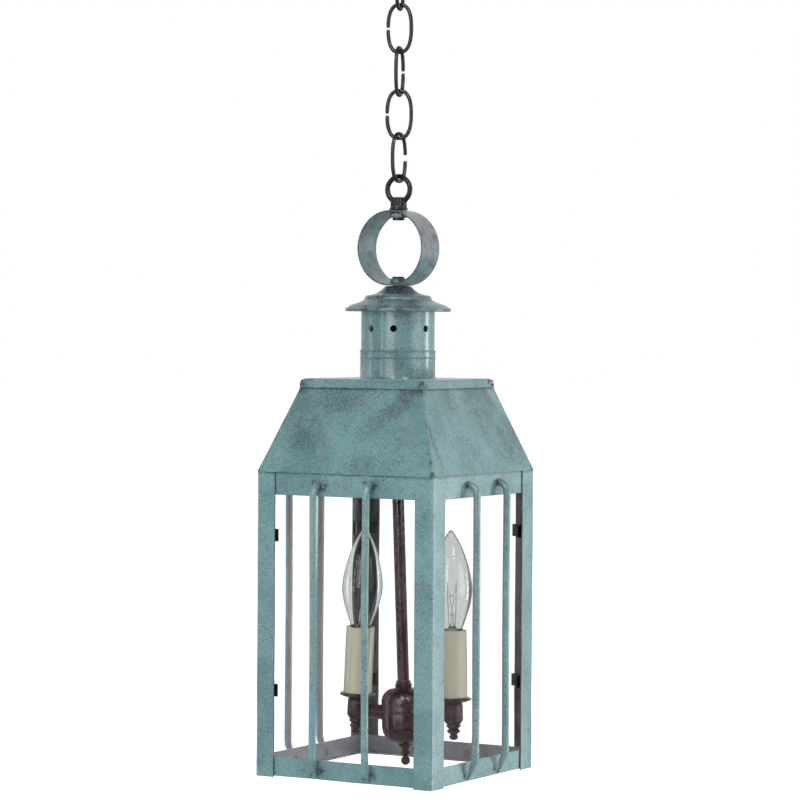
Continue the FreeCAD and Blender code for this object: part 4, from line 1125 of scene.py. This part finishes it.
def make_sleeve(side):
    """One candle sleeve: a thin tube with a softened, slightly uneven rim."""
    low, high = 12.75, 71.75
    outer, inner = 12.65, 11.35
    outline = rounded([(inner, low, 0.2), (outer, low, 0.3), (outer, high, 0.45), (inner, high, 0.35)])

    def uneven(angle, height):
        return -0.02 + 0.07 * noise.noise(Vector((math.cos(angle), math.sin(angle), height / 22.0)))

    rows = turned(divided(outline, 3.0), 96, uneven)
    sleeve = Shape().skin(rows, wrap=True).make("sleeve_tube_" + side, candle_frame(side))
    finish_piece(sleeve, "ivory", "sleeve_" + side, "candle_sleeve_" + side)


def bulb_outline(shrink):
    """The torpedo's side, from the throat up to the tip, thinned by shrink."""
    wide, neck, tip = 18.1, 8.85, 1.5
    low, middle, high = 70.8, 108.5, 159.0
    points = [(neck - 2.6 - shrink, low + shrink), (neck - 0.4 - shrink, low + 0.5 + shrink)]
    for t in spread(0.06, 1.0, 0.047):
        across = neck + (wide - neck) * math.sin(t * math.pi / 2) ** 1.12
        points.append((across - shrink, low + 1.2 + (middle - low - 1.2) * t + shrink * (1 - t)))
    for t in spread(0.05, 1.0, 0.04):
        across = tip + (wide - tip) * (1 - t ** 2.05) * (1 - 0.05 * math.sin(t * math.pi))
        points.append((max(across - shrink, 0.25), middle + (high - middle) * t - shrink * 1.6 * t))
    points.append((0.0, high - shrink * 1.6))
    return points


def make_bulb(side):
    """One torpedo bulb: a blown envelope, its screw base, and the glass mount with its filament."""
    place = candle_frame(side)
    body = "bulb_" + side
    outside, within = bulb_outline(0.0), bulb_outline(0.5)
    envelope = Shape().skin(turned(outside, 72) + turned(within[::-1], 72), wrap=True)
    piece = envelope.make("bulb_envelope_" + side, place, sharp=80)
    piece.visible_shadow = False
    finish_piece(piece, "bulb_glass", body, "bulb_glass_" + side)

    base = 5.95
    low, foot = 70.8, 52.8
    outline = [(0.0, low), (base - 0.4, low), (base - 0.1, low - 0.8)]
    turns = spread(low - 1.6, foot + 3.4, 0.35)
    outline += [(base - 0.28 + 0.26 * math.cos((z - low) * math.tau / 1.9), z) for z in turns]
    outline += [(base - 1.6, foot + 1.6), (2.4, foot + 0.9), (1.9, foot + 0.5), (1.5, foot + 0.05),
                (0.0, foot)]
    piece = Shape().skin(turned(outline, 56)).make("bulb_screw_base_" + side, place, sharp=60)
    finish_piece(piece, "brass_base", body, "bulb_base_" + side)

    mount = rounded([(0.0, 72.0), (4.4, 72.0, 0.4), (3.6, 74.0, 1.0), (1.6, 78.0, 2.0), (1.3, 84.0, 1.0),
                     (1.8, 85.6, 0.6), (0.7, 87.2, 0.6), (0.6, 91.0, 0.4), (0.0, 91.6)], closed=False)
    piece = Shape().skin(turned(mount, 40)).make("bulb_stem_" + side, place, sharp=80)
    piece.visible_shadow = False
    finish_piece(piece, "bulb_glass", body, material="mount_glass")

    wires = Shape()

    def wire(path, radius, count=8):
        wires.skin(swept(path, (0, 1, 0), lambda t, point: (radius, radius), count), cap=True)

    for way in (-1, 1):
        lead = rounded([(way * 1.1, 74.0), (way * 3.4, 78.5, 2.0), (way * 3.9, 90.0, 2.0),
                        (way * 4.2, 101.0, 2.0), (way * 4.6, 113.0)], closed=False)
        wire([(x, 0.0, z) for x, z in lead], 0.3)
        wire([(0.0, 0.0, 90.6), (way * 1.2, 0.0, 96.0), (way * 2.2, 0.0, 101.5)], 0.2)
    coil = []
    for t in spread(0.0, 1.0, 1 / 240):
        across = -4.6 + 9.2 * t
        height = 112.6 - 11.0 * math.sin(math.pi * t) ** 0.8
        angle = t * math.tau * 30
        coil.append((across, 0.38 * math.cos(angle), height + 0.38 * math.sin(angle)))
    wire(coil, 0.09, 6)
    piece = wires.make("bulb_filament_" + side, place, sharp=80)
    finish_piece(piece, "steel", body, material="filament")


def make_socket(side):
    """One lamp holder: a ribbed insulating body with a metal-lined mouth."""
    low, high = 38.0, 70.4
    outline = rounded([(6.3, high), (9.6, high, 0.5), (10.4, high - 0.9, 0.6), (10.4, 48.5, 0.6),
                       (8.9, 46.8, 0.8), (8.9, low, 0.6), (2.2, low), (2.2, 48.4), (6.3, 48.4)])

    def ribs(angle, height):
        return -0.25 * (0.5 + 0.5 * math.cos(angle * 18)) if 50.0 < height < 66.0 else 0.0

    rows = turned(divided(outline, 4.0), 108, ribs)
    socket = Shape().skin(rows, wrap=True).make("lamp_holder_" + side, candle_frame(side))
    finish_piece(socket, "phenolic", "lantern", "socket_" + side)


def carry_over():
    """The nodes whose shape is already right keep it, with softened edges and a full material."""
    looks = {
        "glass_clips": ("dark_clip", 0.12),
        "chimney_tube": ("tube", 0.0),
        "threaded_nipples": ("dark_clip", 0.1),
        "crossbar": ("steel", 0.3),
        "stem_pipe": ("bronze", 0.0),
        "socket_brackets": ("steel", 0.0),
        "wire_connectors": ("connector", 0.2),
    }
    for side in SIDES:
        looks["arm_" + side] = ("bronze", 0.0)
        looks["socket_lead_" + side] = ("lead", 0.0)
    for face in FACES:
        looks["glass_pane_" + face] = ("pane_glass", 0.0)
    for node, (look, edge) in looks.items():
        piece = frame["nodes"][node]
        for slot in piece.material_slots:
            slot.material = MATERIALS[look]
        if edge:
            soften(piece, edge)
        if look == "pane_glass":
            piece.visible_shadow = False


# --- stage ---

AZIMUTH, PITCH, ROLL = math.radians(30.759), math.radians(1.444), math.radians(0.349)
CAMERA_DISTANCE = 2869.46
AIM_LEVEL, AIM_ASIDE = 328.72, 2.2228
FOCAL_LENGTH = 146.34
SENSOR = 36.0
BACK = Vector((math.sin(AZIMUTH) * math.cos(PITCH), -math.cos(AZIMUTH) * math.cos(PITCH), math.sin(PITCH)))
RIGHT = Vector((math.cos(AZIMUTH), math.sin(AZIMUTH), 0.0))


def make_camera():
    """The camera, at the photograph's distance and angle."""
    up = BACK.cross(RIGHT)
    across = RIGHT * math.cos(ROLL) + up * math.sin(ROLL)
    upright = up * math.cos(ROLL) - RIGHT * math.sin(ROLL)
    data = bpy.data.cameras.new("camera")
    data.lens = FOCAL_LENGTH
    data.sensor_width = SENSOR
    data.clip_end = 60.0
    camera = bpy.data.objects.new("camera", data)
    bpy.context.scene.collection.objects.link(camera)
    aim = RIGHT * AIM_ASIDE + Vector((0, 0, AIM_LEVEL))
    place = Vector((0, 0, FOOT)) + (aim + BACK * CAMERA_DISTANCE) * MM
    turn = Matrix((across, upright, BACK)).transposed()
    camera.matrix_world = Matrix.Translation(place) @ turn.to_4x4()
    bpy.context.scene.camera = camera


def soft_light(name, bearing, rise, distance, width, height, watts):
    """A soft light aimed at the lantern. Its bearing is counted to the right of the camera."""
    middle = (CAD_BOX[0] + CAD_BOX[1]) / 2 + Vector((0, 0, -0.1))
    front = Vector((BACK.x, BACK.y, 0)).normalized()
    angle = math.radians(bearing)
    way = (front * math.cos(angle) + RIGHT * math.sin(angle)) * math.cos(math.radians(rise))
    way.z = math.sin(math.radians(rise))
    data = bpy.data.lights.new(name, "AREA")
    data.shape = "RECTANGLE"
    data.size, data.size_y = width, height
    data.energy = watts
    light = bpy.data.objects.new(name, data)
    bpy.context.scene.collection.objects.link(light)
    turn = way.to_track_quat("Z", "Y").to_matrix().to_4x4()
    light.matrix_world = Matrix.Translation(middle + way * distance) @ turn
    light.visible_camera = False
    return light


# Bearing and rise in degrees, distance, width and height in metres, and power in watts.
LIGHTS = {
    "key": (62.0, -1.0, 2.5, 1.5, 2.2, 25.5),
    "right_sheen": (104.0, -12.0, 2.2, 0.46, 1.7, 27.0),
    "front": (-24.0, 12.0, 3.0, 1.3, 2.0, 34.5),
    "side_strip": (-96.0, 8.0, 2.2, 0.5, 2.2, 8.0),
    "thin_strip": (-51.0, 6.0, 2.6, 0.14, 2.0, 6.0),
    "top": (0.0, 80.0, 2.0, 1.6, 1.6, 3.6),
}

# Small windows that are only mirrored: they light nothing.
WINDOWS = {
    "right_window": (26.0, 36.0, 2.6, 0.42, 0.5, 22.0),
    "left_window": (-14.0, 40.0, 2.6, 0.42, 0.5, 22.0),
}


def make_world():
    """A surround that is white where it is seen directly, and dim where it lights the lantern."""
    world = bpy.data.worlds.new("studio")
    bpy.context.scene.world = world
    world.use_nodes = True
    n = Nodes(world.node_tree)
    ray = n.add("LightPath").outputs
    straight = n.calc("MAXIMUM", ray["Is Camera Ray"], ray["Is Transmission Ray"])
    # The world counts one bounce more than a surface does.
    seen = n.calc("MULTIPLY", straight, n.calc("LESS_THAN", n.bounces(), 1.5))
    facing = n.dot(n.add("TexCoord").outputs["Generated"], tuple(-BACK))
    glow = n.range(facing, -0.2, 0.7, 0.16, 0.75)
    shade = n.tree.nodes["Background"]
    n.put(shade.inputs["Strength"], n.add("Mix", {0: seen, 2: glow, 3: 1.0}).outputs[0])
    n.put(shade.inputs["Color"], (1.0, 1.0, 1.0))


def make_floor():
    """A plain pale floor, white where it is seen directly."""
    floor_drop, floor_size = 0.45, 30.0
    data = bpy.data.meshes.new("floor")
    level = CAD_BOX[0].z - floor_drop
    corners = [(x * floor_size, y * floor_size, level) for x, y in ((-1, -1), (1, -1), (1, 1), (-1, 1))]
    data.from_pydata(corners, [], [(0, 1, 2, 3)])
    floor = bpy.data.objects.new("floor", data)
    bpy.context.scene.collection.objects.link(floor)
    s = Shader("floor_paint")
    floor.data.materials.append(s.finish(
        Base_Color=(0.55, 0.55, 0.55), Roughness=0.9, Specular_IOR_Level=0.1,
        Emission_Color=(1.0, 1.0, 1.0), Emission_Strength=s.calc("LESS_THAN", s.bounces(), 0.5)))


def make_stage():
    """The surround, the floor and soft studio lights."""
    make_world()
    make_floor()
    for name, values in LIGHTS.items():
        soft_light(name, *values)
    for name, values in WINDOWS.items():
        soft_light(name, *values).visible_diffuse = False
    bpy.context.scene.view_settings.view_transform = "Standard"


# --- the whole lantern ---

make_camera()
make_stage()
make_posts()
make_rails()
make_guard_bars()
make_roof()
make_tray()
make_corner_folds()
make_collar()
make_cap()
make_ring()
make_nuts()
make_loop()
make_chain()
make_cluster()
for hand in SIDES:
    make_cup(hand)
    make_socket(hand)
    make_sleeve(hand)
    make_bulb(hand)
carry_over()
